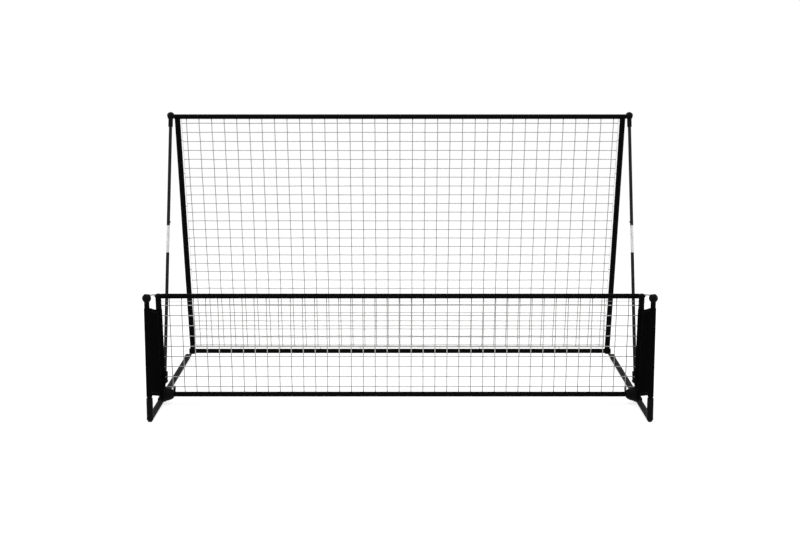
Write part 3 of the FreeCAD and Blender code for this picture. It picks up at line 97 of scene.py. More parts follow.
class RebounderNetSizes(bpy.types.PropertyGroup):
    rear_cord: length_property("Rear cord", 3.5, "Diameter of the rear net's cord", 1.0)
    front_cord: length_property("Front cord", 3.4, "Diameter of the front net's cord", 1.0)
    rear_edge_cord: length_property(
        "Rear border cord", 3.6, "Diameter of the cord along the rear net's foot", 1.0)
    rear_side_cord: length_property(
        "Rear side cord", 1.2, "Diameter of the fine cord down the rear net's sides", 0.5)
    front_edge_cord: length_property(
        "Front border cord", 1.3, "Diameter of the fine cord above the front net", 0.5)
    rear_columns: count_property("Rear columns", 35, "Upright cords in the rear net")
    rear_rows: count_property("Rear rows", 27, "Level cords in the rear net")
    rear_half_width: length_property(
        "Rear half width", 850.0, "Middle of the rear net to its outer upright cord")
    rear_border_half_width: length_property(
        "Rear border half width", 869.5, "Middle of the rear net to its border cord")
    rear_lowest: length_property(
        "Rear lowest row", 28.2, "Bottom bar's middle to the lowest level cord")
    rear_highest: length_property(
        "Rear highest row", 28.4, "Top bar's middle to the highest level cord")
    rear_border: length_property(
        "Rear border row", 19.5, "Bottom bar's middle to the border cord")
    front_columns: count_property("Front columns", 39, "Upright cords in the front net")
    front_rows: count_property("Front rows", 9, "Level cords in the front net")
    front_half_width: length_property(
        "Front half width", 864.3, "Middle of the front net to its outer upright cord")
    front_shift: length_property(
        "Front shift", 3.4, "How far the front net hangs to the left of the middle")
    front_lowest: length_property(
        "Front lowest row", 30.2, "Bottom bar's middle to the lowest level cord")
    front_highest: length_property(
        "Front highest row", 36.9, "Top bar's middle to the highest full level cord")
    front_border: length_property(
        "Front border row", 21.0, "Top bar's middle to the fine border cord")
    looseness: length_property(
        "Looseness", 0.5, "How far a crossing strays from its even place")


class RebounderPanelSizes(bpy.types.PropertyGroup):
    cloth: length_property("Cloth", 1.1, "Thickness of one layer of the panel's cloth", 0.3)
    hem: length_property("Hem", 14.0, "Width of the folded hems and seams")
    wrinkle: length_property("Wrinkle", 1.5, "Depth of the pull wrinkles in the cloth")
    stitch: length_property("Stitch", 4.0, "Length of one stitch with its gap", 1.0)


class RebounderColours(bpy.types.PropertyGroup):
    steel: colour_property("Powder coat", (0.0010, 0.0010, 0.0011),
                           "Colour of the coated frame tubes, posts and brackets")
    # Painted sheen: the rails and struts wear the same black powder coat, and this greyer colour stands in for the
    # light they catch at a grazing angle
    satin: colour_property("Painted sheen coat", (0.016, 0.016, 0.0165),
                           "Colour of the black coat of the rails and struts, lightened as painted sheen")
    plastic: colour_property("Plastic", (0.0022, 0.0022, 0.0023),
                             "Colour of the moulded fittings")
    cord: colour_property("Cord", (0.56, 0.56, 0.55), "Colour of the nets")
    cloth: colour_property("Cloth", (0.0017, 0.0017, 0.0018), "Colour of the side panels")
    floor: colour_property("Floor", (0.93, 0.93, 0.93), "Colour of the studio floor")


class RebounderStageSizes(bpy.types.PropertyGroup):
    distance: FloatProperty(
        name="Camera distance", description="Front posts to the camera, along the ground",
        default=5.3271, unit="LENGTH")
    height: FloatProperty(
        name="Camera height", description="Height of the camera above the ground",
        default=1.4939, unit="LENGTH")
    pitch: FloatProperty(
        name="Camera pitch", description="How far the camera looks down",
        default=math.radians(9.76), subtype="ANGLE")
    focal: FloatProperty(
        name="Focal length", description="Focal length on a 36 mm wide sensor, in millimetres",
        default=67.5)
    lamp_power: FloatProperty(
        name="Lamp power", description="Power of the large overhead lamp, in watts", default=90.0)


# Meshes


def even(first, last, count):
    """Numbers at even steps from first to last."""
    return [first + (last - first) * number / (count - 1) for number in range(count)]


def new_piece(name, points, faces, body, material, uv=None, smooth=True):
    """A mesh object that rides on a body; uv gives a coordinate for each point, in metres."""
    mesh = bpy.data.meshes.new(name)
    mesh.from_pydata([tuple(point) for point in points], [], faces)
    mesh.materials.append(material)
    for polygon in mesh.polygons:
        polygon.use_smooth = smooth
    if uv is not None:
        layer = mesh.uv_layers.new(name="thread")
        for loop in mesh.loops:
            layer.data[loop.index].uv = uv[loop.vertex_index]
    mesh.validate()
    piece = bpy.data.objects.new(name, mesh)
    bpy.context.scene.collection.objects.link(piece)
    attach(piece, body)
    return piece


def tube_faces(start, rings, sides):
    """The faces of a closed tube whose rings of points follow each other from start."""
    faces = []
    for ring in range(rings - 1):
        low = start + ring * sides
        for step in range(sides):
            beside = (step + 1) % sides
            faces.append((low + step, low + beside, low + sides + beside, low + sides + step))
    faces.append(tuple(range(start + sides - 1, start - 1, -1)))
    end = start + (rings - 1) * sides
    faces.append(tuple(range(end, end + sides)))
    return faces


class Strands:
    """Collects round cords, each a closed tube along a path, into one mesh."""

    def __init__(self, sides):
        self.sides, self.points, self.faces, self.uv = sides, [], [], []

    def add(self, path, radii, normal):
        """A tube along a path, with a radius for each point; normal is never along the path."""
        start = len(self.points)
        run = 0.0
        for number, (spot, radius) in enumerate(zip(path, radii)):
            before, after = path[max(number - 1, 0)], path[min(number + 1, len(path) - 1)]
            along = (after - before).normalized()
            side = along.cross(normal).normalized()
            out = side.cross(along)
            if number:
                run += (spot - before).length
            for step in range(self.sides):
                angle = 2 * math.pi * step / self.sides
                self.points.append(spot + radius * (math.cos(angle) * side
                                                    + math.sin(angle) * out))
                self.uv.append((run, radius * angle))
        self.faces += tube_faces(start, len(path), self.sides)

    def add_round(self, path, radius, normal):
        """A tube of one radius along a path."""
        self.add(path, [radius] * len(path), normal)

    def piece(self, name, body, slot, material):
        return new_piece(name, self.points, self.faces, body, material, self.uv)


def middle(node):
    low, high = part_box(node)
    return (low + high) / 2


class FramePlane:
    """The plane of a netted frame, from the middles of its bottom and top bars."""

    def __init__(self, bottom_bar, top_bar, body):
        self.body = body
        self.foot = middle(bottom_bar)
        self.foot.x = 0.0
        rise = middle(top_bar) - self.foot
        rise.x = 0.0
        self.length = rise.length
        self.under_bar = self.length - BAR_DIAMETER / 2 - CONTACT
        self.up = rise.normalized()
        self.out = Vector((1.0, 0.0, 0.0)).cross(self.up)

    def spot(self, across, along, outward=0.0):
        return self.foot + Vector((across, 0.0, 0.0)) + along * self.up + outward * self.out


# Shading helpers


def put(tree, kind, settings=None, **inputs):
    """Adds a node; an input, by its label or as i and its number, is a value or a socket."""
    made = tree.nodes.new(kind)
    for name, value in (settings or {}).items():
        setattr(made, name, value)
    for name, value in inputs.items():
        numbered = name[0] == "i" and name[1:].isdigit()
        socket = made.inputs[int(name[1:]) if numbered else name.replace("_", " ")]
        if isinstance(value, bpy.types.NodeSocket):
            tree.links.new(value, socket)
        else:
            socket.default_value = value
    return made


def shader_group(name, inputs, outputs):
    """A new node group with its input and output nodes; Vector is its only vector input."""
    tree = bpy.data.node_groups.new(name, "ShaderNodeTree")
    for label, default in inputs:
        kind = "NodeSocketVector" if label == "Vector" else "NodeSocketFloat"
        socket = tree.interface.new_socket(label, in_out="INPUT", socket_type=kind)
        if default is not None:
            socket.default_value = default
    for label in outputs:
        tree.interface.new_socket(label, in_out="OUTPUT", socket_type="NodeSocketFloat")
    return tree, tree.nodes.new("NodeGroupInput"), tree.nodes.new("NodeGroupOutput")


def math_node(tree, operation, first, second=0.0):
    return put(tree, "ShaderNodeMath", {"operation": operation}, i0=first, i1=second).outputs[0]


def sine_of_turns(tree, turns):
    return math_node(tree, "SINE", math_node(tree, "MULTIPLY", turns, 2 * math.pi))


def from_sine(tree, wave):
    """A sine's -1 to 1 as 0 to 1."""
    spread = put(tree, "ShaderNodeMapRange", Value=wave, From_Min=-1.0, From_Max=1.0)
    return spread.outputs["Result"]


def noise(tree, vector, scale, detail, roughness):
    made = put(tree, "ShaderNodeTexNoise", Vector=vector, Scale=scale, Detail=detail,
               Roughness=roughness)
    return made.outputs["Fac"]


def grain_group(name):
    """Fine relief of a coated or moulded surface, and a soft mottle of the same kind."""
    tree, entry, leave = shader_group(
        name, [("Vector", None), ("Fineness", 900.0), ("Mottle", 14.0)], ["Height", "Mottle"])
    given = entry.outputs
    fine = noise(tree, given["Vector"], given["Fineness"], detail=2.0, roughness=0.5)
    broad = noise(tree, given["Vector"], given["Mottle"], detail=4.0, roughness=0.6)
    tree.links.new(fine, leave.inputs["Height"])
    tree.links.new(broad, leave.inputs["Mottle"])
    return tree


def scuff_group(name):
    """A mask of small rubbed marks: fine noise, cut at a level."""
    tree, entry, leave = shader_group(
        name, [("Vector", None), ("Size", 60.0), ("Level", 0.66), ("Sharpness", 14.0)], ["Mask"])
    given = entry.outputs
    marks = noise(tree, given["Vector"], given["Size"], detail=6.0, roughness=0.7)
    above = math_node(tree, "SUBTRACT", marks, given["Level"])
    mask = put(tree, "ShaderNodeMath", {"operation": "MULTIPLY", "use_clamp": True},
               i0=above, i1=given["Sharpness"])
    tree.links.new(mask.outputs[0], leave.inputs["Mask"])
    return tree


def twist_group(name):
    """Strands laid round a cord: slanted ridges from the cord's own length and girth."""
    tree, entry, leave = shader_group(
        name, [("Vector", None), ("Lay", 420.0), ("Slant", 0.9), ("Soil", 35.0)],
        ["Height", "Shade"])
    given = entry.outputs
    split = put(tree, "ShaderNodeSeparateXYZ", Vector=given["Vector"])
    slant = math_node(tree, "ADD", split.outputs["X"],
                      math_node(tree, "MULTIPLY", split.outputs["Y"], given["Slant"]))
    wave = sine_of_turns(tree, math_node(tree, "MULTIPLY", slant, given["Lay"]))
    ridge = from_sine(tree, wave)
    soil = noise(tree, given["Vector"], given["Soil"], detail=4.0, roughness=0.6)
    tree.links.new(ridge, leave.inputs["Height"])
    # Shade is the ridges times the soil noise: low in the grooves, which get painted shade, and low where the cord
    # is soiled
    tree.links.new(math_node(tree, "MULTIPLY", ridge, soil), leave.inputs["Shade"])
    return tree


def weave_group(name):
    """Plain weave from two crossing rows of threads, with a slow change of tone."""
    tree, entry, leave = shader_group(
        name, [("Vector", None), ("Threads", 700.0), ("Fading", 22.0)], ["Height", "Tone"])
    given = entry.outputs
    split = put(tree, "ShaderNodeSeparateXYZ", Vector=given["Vector"])
    warp, weft = [sine_of_turns(tree, math_node(tree, "MULTIPLY", split.outputs[axis],
                                                given["Threads"])) for axis in ("X", "Y")]
    height = from_sine(tree, math_node(tree, "MULTIPLY", warp, weft))
    tone = noise(tree, given["Vector"], given["Fading"], detail=5.0, roughness=0.6)
    tree.links.new(height, leave.inputs["Height"])
    tree.links.new(tone, leave.inputs["Tone"])
    return tree


def start_material(name):
    material = bpy.data.materials.new(name)
    material.use_nodes = True
    tree = material.node_tree
    return material, tree, tree.nodes["Principled BSDF"]


def place_group(tree, name, build, vector, **values):
    """Places a shared node group, which is built when it is first asked for."""
    made = tree.nodes.new("ShaderNodeGroup")
    made.node_tree = bpy.data.node_groups.get(name) or build(name)
    tree.links.new(vector, made.inputs["Vector"])
    for label, value in values.items():
        made.inputs[label].default_value = value
    return made


def scaled(colour, factor):
    return [part * factor for part in colour]


def tinted(tree, shader, mask, plain, marked):
    """Base colour that goes from plain to marked with a mask."""
    mix = put(tree, "ShaderNodeMix", {"data_type": "RGBA"}, i0=mask,
              i6=(*plain, 1.0), i7=(*marked, 1.0))
    tree.links.new(mix.outputs[2], shader.inputs["Base Color"])


def ranged(tree, socket, value, low, high):
    spread = put(tree, "ShaderNodeMapRange", Value=value, To_Min=low, To_Max=high)
    tree.links.new(spread.outputs["Result"], socket)


def bumped(tree, shader, height, depth, strength):
    bump = put(tree, "ShaderNodeBump", Height=height, Distance=depth, Strength=strength)
    tree.links.new(bump.outputs["Normal"], shader.inputs["Normal"])


# Materials


def coated_material(name, colour, worn, fineness, roughness, gloss, depth):
    """Black coating or moulded plastic: fine grain, mottled gloss and a few rubbed marks."""
    material, tree, shader = start_material(name)
    place = put(tree, "ShaderNodeTexCoord").outputs["Object"]
    grain = place_group(tree, "Surface grain", grain_group, place, Fineness=fineness)
    scuffs = place_group(tree, "Handling scuffs", scuff_group, place)
    tinted(tree, shader, scuffs.outputs["Mask"], colour, worn)
    ranged(tree, shader.inputs["Roughness"], grain.outputs["Mottle"], *roughness)
    bumped(tree, shader, grain.outputs["Height"], depth, strength=0.4)
    shader.inputs["Specular IOR Level"].default_value = gloss
    return material


def metal_material(name, colour, dull, edge, fineness, roughness):
    """Plated steel with a spangled change of tone, fine drawing marks and darker grazing gloss."""
    material, tree, shader = start_material(name)
    place = put(tree, "ShaderNodeTexCoord").outputs["Object"]
    stretched = put(tree, "ShaderNodeMapping", Vector=place, Scale=(1.0, 0.35, 0.12))
    grain = place_group(tree, "Surface grain", grain_group, stretched.outputs["Vector"],
                        Fineness=fineness, Mottle=120.0)
    tinted(tree, shader, grain.outputs["Mottle"], colour, dull)
    ranged(tree, shader.inputs["Roughness"], grain.outputs["Mottle"], *roughness)
    bumped(tree, shader, grain.outputs["Height"], depth=0.02 * MM, strength=0.3)
    shader.inputs["Metallic"].default_value = 1.0
    shader.inputs["Specular Tint"].default_value = (*edge, 1.0)
    return material


def cord_material(name, colour):
    """Twisted cord with painted shade in its grooves, and darker where it is soiled."""
    material, tree, shader = start_material(name)
    place = put(tree, "ShaderNodeUVMap", {"uv_map": "thread"}).outputs["UV"]
    twist = place_group(tree, "Twisted strands", twist_group, place, Lay=420.0)
    # Painted shade: the colour falls to 0.7 of itself in the grooves between strands, and the soil noise darkens
    # it too
    tinted(tree, shader, twist.outputs["Shade"], scaled(colour, 0.70), colour)
    bumped(tree, shader, twist.outputs["Height"], depth=0.4 * MM, strength=0.9)
    shader.inputs["Roughness"].default_value = 0.75
    shader.inputs["Specular IOR Level"].default_value = 0.25
    shader.inputs["Sheen Weight"].default_value = 0.15
    return material


def cloth_material(name, colour):
    """Woven cloth with a slow change of tone and no gloss of its own."""
    material, tree, shader = start_material(name)
    place = put(tree, "ShaderNodeUVMap", {"uv_map": "thread"}).outputs["UV"]
    weave = place_group(tree, "Plain weave", weave_group, place, Threads=600.0)
    tinted(tree, shader, weave.outputs["Tone"], colour, scaled(colour, 2.2))
    ranged(tree, shader.inputs["Roughness"], weave.outputs["Tone"], low=0.62, high=0.82)
    bumped(tree, shader, weave.outputs["Height"], depth=0.25 * MM, strength=0.7)
    shader.inputs["Specular IOR Level"].default_value = 0.0
    return material


def finish_of(name, build, **values):
    """The finish of this name, built when it is first asked for."""
    return bpy.data.materials.get(name) or build(name, **values)


def colours():
    return bpy.context.scene.rebounder_colours


def powder_coat():
    steel = tuple(colours().steel)
    return finish_of("Black powder coat", coated_material, colour=steel, worn=scaled(steel, 5.0),
                     fineness=900.0, roughness=(0.42, 0.56), gloss=0.028, depth=0.05 * MM)


# Painted sheen: a greyer, less glossy copy of the black powder coat, whose lighter colour stands in for the
# grazing light on the rails and struts
def painted_sheen_coat():
    satin = tuple(colours().satin)
    return finish_of("Satin powder coat", coated_material, colour=satin, worn=scaled(satin, 1.7),
                     fineness=900.0, roughness=(0.52, 0.68), gloss=0.012, depth=0.06 * MM)


def moulded_plastic():
    plastic = tuple(colours().plastic)
    return finish_of("Moulded black plastic", coated_material, colour=plastic,
                     worn=scaled(plastic, 3.5), fineness=1400.0, roughness=(0.48, 0.6),
                     gloss=0.045, depth=0.06 * MM)


def galvanised():
    return finish_of("Galvanised steel", metal_material, colour=(0.50, 0.51, 0.52),
                     dull=(0.32, 0.33, 0.34), edge=(0.05, 0.05, 0.05), fineness=700.0,
                     roughness=(0.26, 0.42))


def black_zinc():
    return finish_of("Black zinc plate", coated_material, colour=(0.0030, 0.0030, 0.0032),
                     worn=(0.012, 0.012, 0.012), fineness=1500.0, roughness=(0.36, 0.48),
                     gloss=0.1, depth=0.03 * MM)


def nylon():
    return finish_of("Black nylon", coated_material, colour=(0.0024, 0.0024, 0.0025),
                     worn=(0.006, 0.006, 0.006), fineness=1200.0, roughness=(0.5, 0.62),
                     gloss=0.05, depth=0.04 * MM)


def sewing_thread():
    return finish_of("Black sewing thread", coated_material, colour=(0.006, 0.006, 0.006),
                     worn=(0.01, 0.01, 0.01), fineness=2500.0, roughness=(0.5, 0.7), gloss=0.08,
                     depth=0.03 * MM)


def net_cord():
    return finish_of("White net cord", cord_material, colour=tuple(colours().cord))


def woven_cloth():
    return finish_of("Black woven polyester", cloth_material, colour=tuple(colours().cloth))


# Finishes of the CAD parts

# Parts that get the greyer copy of the black coat, with painted sheen
PAINTED_SHEEN_PARTS = ("rail", "strut_lower_tube", "strut_upper_tube")


def dress(nodes, material):
    """Gives CAD nodes a finish in place of their plain one."""
    for name in nodes:
        node = frame["nodes"][name]
        if not node.material_slots:
            node.data.materials.append(material)
        for place in node.material_slots:
            place.material = material


def nodes_of(slot):
    return [entry["node"] for entry in frame["record"]["subparts"]
            if entry["material_slot"] == slot]


class REBOUNDER_OT_steel_tubes(bpy.types.Operator):
    """Coats the steel tubes and brackets in black powder, and the rails and struts in a greyer copy of it with
    painted sheen
    """
    bl_idname = "rebounder.steel_tubes"
    bl_label = "Steel Tubes"

    def execute(self, context):
        dress(nodes_of("black_steel"), powder_coat())
        dress([f"{part}_{side}" for part in PAINTED_SHEEN_PARTS for side, _ in SIDES], painted_sheen_coat())
        return {"FINISHED"}


class REBOUNDER_OT_plastic_fittings(bpy.types.Operator):
    """Gives the hubs, elbows, balls and plugs moulded black plastic, and the washers nylon"""
    bl_idname = "rebounder.plastic_fittings"
    bl_label = "Plastic Fittings"

    def execute(self, context):
        dress(nodes_of("black_plastic"), moulded_plastic())
        dress(nodes_of("nylon"), nylon())
        return {"FINISHED"}


class REBOUNDER_OT_plated_parts(bpy.types.Operator):
    """Gives the inner strut tubes and stays bright zinc, and the fasteners black zinc"""
    bl_idname = "rebounder.plated_parts"
    bl_label = "Plated Parts"

    def execute(self, context):
        dress(nodes_of("galvanised"), galvanised())
        dress(nodes_of("black_zinc"), black_zinc())
        return {"FINISHED"}


# Nets

CORD_SIDES = 8
# Upright cords lie this share of their diameter in front of the net's plane, level cords behind it
CORD_LIFT = 0.45
# A joint's half length against the cord's diameter, then its places and girth against a cord
KNOT_REACH = 0.95
KNOT_PROFILE = ((-1.0, 0.35), (-0.7, 1.0), (0.0, 1.35), (0.7, 1.0), (1.0, 0.35))
SIDE_BORDER_POINTS, LEVEL_BORDER_POINTS = 14, 24
REAR_SEED, FRONT_SEED = 11, 23


def weave_path(plane, fixed, stops, ends, upright, lift, looseness, draw):
    """One cord through its crossings, from end to end, lifted to one side of the net."""
    path = []
    places = [ends[0]] + [stop for stop in stops if ends[0] < stop < ends[1]] + [ends[1]]
    for number, place in enumerate(places):
        stray = draw.uniform(-1.0, 1.0) * looseness
        inner = 0 < number < len(places) - 1
        sideways = fixed + (stray if inner else 0.0)
        outward = lift if inner else 0.0
        path.append(plane.spot(sideways, place, outward) if upright
                    else plane.spot(place, sideways, outward))
    return path


def mesh_net(name, plane, columns, rows, column_ends, row_ends, cord, looseness, seed, borders):
    """A net of upright and level cords with a flat joint at each crossing, and its borders."""
    draw = random.Random(seed)
    strands = Strands(CORD_SIDES)
    radius, lift = cord / 2, cord * CORD_LIFT
    for column in columns:
        path = weave_path(plane, column, rows, column_ends(column), True, lift, looseness, draw)
        strands.add_round(path, radius, plane.out)
    for row in rows:
        path = weave_path(plane, row, columns, row_ends(row), False, -lift, looseness, draw)
        strands.add_round(path, radius, plane.out)
    girths = [radius * girth for _, girth in KNOT_PROFILE]
    for column in columns:
        for row in rows:
            spots = [plane.spot(column, row + share * cord * KNOT_REACH)
                     for share, _ in KNOT_PROFILE]
            strands.add(spots, girths, plane.out)
    for path, border_radius in borders:
        strands.add_round(path, border_radius, plane.out)
    return strands.piece(name, plane.body, "net_cord", net_cord())


def rear_plane():
    return FramePlane("rear_bottom_bar", "rear_top_bar", "rear_frame")


def front_plane():
    return FramePlane("front_bottom_bar", "front_top_bar", "base")


class REBOUNDER_OT_rear_net(bpy.types.Operator):
    """Knots the tall rear net with its border cords"""
    bl_idname = "rebounder.rear_net"
    bl_label = "Rear Net"

    def execute(self, context):
        sizes = context.scene.rebounder_net
        plane = rear_plane()
        columns = even(-sizes.rear_half_width, sizes.rear_half_width, sizes.rear_columns)
        rows = even(sizes.rear_lowest, plane.length - sizes.rear_highest, sizes.rear_rows)
        foot, edge = sizes.rear_border, sizes.rear_border_half_width
        borders = []
        for _, sign in SIDES:
            path = [plane.spot(sign * edge, along)
                    for along in even(foot, plane.under_bar, SIDE_BORDER_POINTS)]
            borders.append((path, sizes.rear_side_cord / 2))
        path = [plane.spot(across, foot) for across in even(-edge, edge, LEVEL_BORDER_POINTS)]
        borders.append((path, sizes.rear_edge_cord / 2))
        net = mesh_net("rear_net_cords", plane, columns, rows,
                       lambda column: (foot, plane.under_bar), lambda row: (-edge, edge),
                       sizes.rear_cord, sizes.looseness, REAR_SEED, borders)
        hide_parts("rear_net")
        return {"FINISHED"}


def hub_face(across):
    """How far the bottom bar, or a hub's rounded tip, reaches up from the bar's middle."""
    hub_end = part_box("rail_right")[0].x - HUB_RAIL_GAP
    beyond = hub_end - across - (HUB_WIDTH - HUB_TIP_RADIUS)
    return max(BAR_DIAMETER / 2, math.sqrt(max(HUB_TIP_RADIUS ** 2 - beyond ** 2, 0.0)))


class REBOUNDER_OT_front_net(bpy.types.Operator):
    """Knots the low front net between its tubes"""
    bl_idname = "rebounder.front_net"
    bl_label = "Front Net"

    def execute(self, context):
        sizes = context.scene.rebounder_net
        plane = front_plane()
        columns = even(-sizes.front_half_width - sizes.front_shift,
                       sizes.front_half_width - sizes.front_shift, sizes.front_columns)
        rows = even(sizes.front_lowest, plane.length - sizes.front_highest, sizes.front_rows)
        tube_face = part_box("front_side_tube_right")[0].x - CONTACT
        sleeve_face = tube_face - SLEEVE_FIT - context.scene.rebounder_panel.cloth - CONTACT

        def column_ends(column):
            return hub_face(abs(column) + sizes.front_cord / 2) + CONTACT, plane.under_bar

        def row_ends(row):
            height = plane.spot(0.0, row).z
            sleeved = PANEL_TUBE_BOTTOM < height + sizes.front_cord \
                and height - sizes.front_cord < PANEL_TUBE_TOP
            edge = sleeve_face if sleeved else tube_face
            return -edge, edge

        border_row = plane.length - sizes.front_border
        border = [plane.spot(across, border_row, -sizes.front_cord * CORD_LIFT)
                  for across in even(-tube_face, tube_face, LEVEL_BORDER_POINTS)]
        net = mesh_net("front_net_cords", plane, columns, rows, column_ends, row_ends,
                       sizes.front_cord, sizes.looseness, FRONT_SEED,
                       [(border, sizes.front_edge_cord / 2)])
        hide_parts("front_net")
        return {"FINISHED"}


# Net ties

BOTTOM_TIES, SIDE_TIES = 9, 7
TIE_RADIUS, TIE_SUNK = 0.8 * MM, 0.2 * MM
# Points round the border cord, the loop's depth against a circle, and the ends' spread in radii
TIE_POINTS, TIE_DEPTH, TIE_SPREAD = 9, 0.9, 1.1


def tie_places(plane, sizes):
    """For each tie: its spot on the border cord, the way to the tube, the cord and the reach."""
    low, high = sizes.rear_lowest, plane.length - sizes.rear_highest
    spacing = (high - low) / SIDE_TIES
    side_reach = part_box("rear_side_tube_right")[0].x - sizes.rear_border_half_width + TIE_SUNK
    foot_reach = sizes.rear_border - BAR_DIAMETER / 2 + TIE_SUNK
    places = []
    for _, sign in SIDES:
        for number in range(SIDE_TIES):
            spot = plane.spot(sign * sizes.rear_border_half_width, low + spacing * (number + 0.5))
            places.append((spot, Vector((sign, 0.0, 0.0)), sizes.rear_side_cord, side_reach))
    for across in even(-sizes.rear_half_width, sizes.rear_half_width, BOTTOM_TIES + 2)[1:-1]:
        spot = plane.spot(across, sizes.rear_border)
        places.append((spot, -plane.up, sizes.rear_edge_cord, foot_reach))
    return places


class REBOUNDER_OT_net_ties(bpy.types.Operator):
    """Ties the rear net's border cords to its tubes"""
    bl_idname = "rebounder.net_ties"
    bl_label = "Net Ties"

    def execute(self, context):
        plane = rear_plane()
        spread = plane.out * TIE_RADIUS * TIE_SPREAD
        strands = Strands(CORD_SIDES)
        for spot, away, cord, reach in tie_places(plane, context.scene.rebounder_net):
            loop_radius = cord / 2 + TIE_RADIUS
            path = [spot + away * reach + spread]
            for angle in even(0.0, math.pi, TIE_POINTS):
                path.append(spot + math.sin(angle) * -loop_radius * away * TIE_DEPTH
                            + math.cos(angle) * loop_radius * plane.out)
            path.append(spot + away * reach - spread)
            strands.add_round(path, TIE_RADIUS, away.cross(plane.out))
        ties = strands.piece("rear_net_tie_cords", "rear_frame", "net_cord", net_cord())
        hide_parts("rear_net_pegs")
        return {"FINISHED"}


# Side panels

PANEL_COLUMNS, PANEL_ROWS, TAB_ROWS = 46, 92, 12
TAB_SHARE = TAB_ROWS / PANEL_ROWS
SLEEVE_ROWS, SLEEVE_STEPS = 30, 28
# Half the angle over which a sleeve leaves its tube for the seam
SEAM_OPENING = math.radians(58)
# The cloth begins at this share of the seam's distance from the tube's axis, and so laps it
SEAM_LAP = 0.97
# Layers in a hem, a little flattened
HEM_LAYERS = 1.9
# Where pull wrinkles start (across, up), how close they lie, and their slant (across, up)
WRINKLE_FANS = ((0.95, 0.05, 26.0, 1.0, 1.5), (0.05, 0.97, 22.0, 1.2, 1.0))
# How fast the wrinkles die away from where they start, and towards the seams
WRINKLE_FALL, WRINKLE_FADE = 5.0, 7.0
# A slow wave over the whole cloth: its share of the depth and its slant (across, up)
BILLOW, BILLOW_ACROSS, BILLOW_UP = 0.35, 3.0, 5.0


class PanelPlace:
    """Where one side panel hangs: between a post's axis and a front side tube's axis."""

    def __init__(self, side):
        self.post = middle(f"post_{side}")
        plane = front_plane()
        tube = middle(f"front_side_tube_{side}")
        self.tube_foot = Vector((tube.x, plane.foot.y, plane.foot.z))
        self.up = plane.up

    def on_tube(self, height):
        """The point of the side tube's axis at a height."""
        return self.tube_foot + self.up * ((height - self.tube_foot.z) / self.up.z)

    def on_post(self, height):
        return Vector((self.post.x, self.post.y, height))

    def across(self, height):
        """The direction in the panel from the post to the side tube."""
        way = self.on_tube(height) - self.on_post(height)
        way.z = 0.0
        return way.normalized()


def sleeve_radius(diameter, sizes):
    """From a tube's axis to the middle of the cloth round it."""
    return diameter / 2 + SLEEVE_FIT + sizes.cloth / 2


def sleeve_loop(centre, toward, up, radius):
    """A drop-shaped loop round a tube, closed at its seam on the panel's side."""
    outward = up.cross(toward).normalized()
    seam = radius / math.cos(SEAM_OPENING)
    spots = [centre + toward * seam]
    for angle in even(SEAM_OPENING, 2 * math.pi - SEAM_OPENING, SLEEVE_STEPS + 1):
        spots.append(centre + radius * (math.cos(angle) * toward + math.sin(angle) * outward))
    spots.append(centre + toward * seam)
    return spots


def sleeves(place, sizes):
    """The loops of cloth round the post and round the front side tube."""
    made = []
    for low, high, axis, diameter, turn in (
            (PANEL_POST_BOTTOM, PANEL_POST_TOP, place.on_post, POST_DIAMETER, 1.0),
            (PANEL_TUBE_BOTTOM, PANEL_TUBE_TOP, place.on_tube, TUBE_DIAMETER, -1.0)):
        up = (axis(high) - axis(low)).normalized()
        made.append([sleeve_loop(axis(height), place.across(height) * turn, up,
                                 sleeve_radius(diameter, sizes))
                     for height in even(low, high, SLEEVE_ROWS)])
    return made


def panel_ends(place, sizes, up_share):
    """The ends, at the post and at the tube or tab, of a line across the cloth."""
    seam = sleeve_radius(POST_DIAMETER, sizes) / math.cos(SEAM_OPENING)
    left = place.on_post(PANEL_POST_BOTTOM + (PANEL_POST_TOP - PANEL_POST_BOTTOM) * up_share)
    left = left + place.across(left.z) * seam * SEAM_LAP
    if up_share < TAB_SHARE:
        height = PANEL_TAB_BOTTOM + (PANEL_TUBE_BOTTOM - PANEL_TAB_BOTTOM) * up_share / TAB_SHARE
        line = place.on_tube(height) - place.on_post(height)
        right = place.on_post(height) + line * (PANEL_TAB_BACK / abs(line.y))
        right.z = height
    else:
        seam = sleeve_radius(TUBE_DIAMETER, sizes) / math.cos(SEAM_OPENING)
        climb = (up_share - TAB_SHARE) / (1 - TAB_SHARE)
        height = PANEL_TUBE_BOTTOM + (PANEL_TUBE_TOP - PANEL_TUBE_BOTTOM) * climb
        right = place.on_tube(height) - place.across(height) * seam * SEAM_LAP
    return left, right


def panel_rows(place, sizes):
    """The cloth between the two sleeves, as rows of points from bottom to top."""
    rows = []
    for up_share in even(0.0, 1.0, PANEL_ROWS):
        left, right = panel_ends(place, sizes, up_share)
        rows.append([left.lerp(right, share) for share in even(0.0, 1.0, PANEL_COLUMNS)])
    return rows


def wrinkled(rows, depth, sign):
    """Pull wrinkles that fan out of two corners, dying away towards the seams."""
    for up, row in zip(even(0.0, 1.0, len(rows)), rows):
        for across, spot in zip(even(0.0, 1.0, len(row)), row):
            fade = min(1.0, across * WRINKLE_FADE, (1 - across) * WRINKLE_FADE) ** 2
            wave = 0.0
            for start_across, start_up, waves, slant_across, slant_up in WRINKLE_FANS:
                away = (across - start_across) ** 2 + (up - start_up) ** 2
                wave += math.exp(-away * WRINKLE_FALL) \
                    * math.sin(waves * (slant_across * across + slant_up * up))
            wave += BILLOW * math.sin(BILLOW_UP * up + BILLOW_ACROSS * across)
            spot.x += sign * depth * fade * wave
    return rows


def hem_thickness(rows, sizes):
    """The thickness at each point, almost doubled in the hems, the seams and the tab's edge."""
    table = []
    for row in rows:
        line = []
        for spot, low, high in zip(row, rows[0], rows[-1]):
            nearest = min((spot - end).length for end in (low, high, row[0], row[-1]))
            line.append(sizes.cloth * (HEM_LAYERS if nearest < sizes.hem else 1.0))
        table.append(line)
    return table


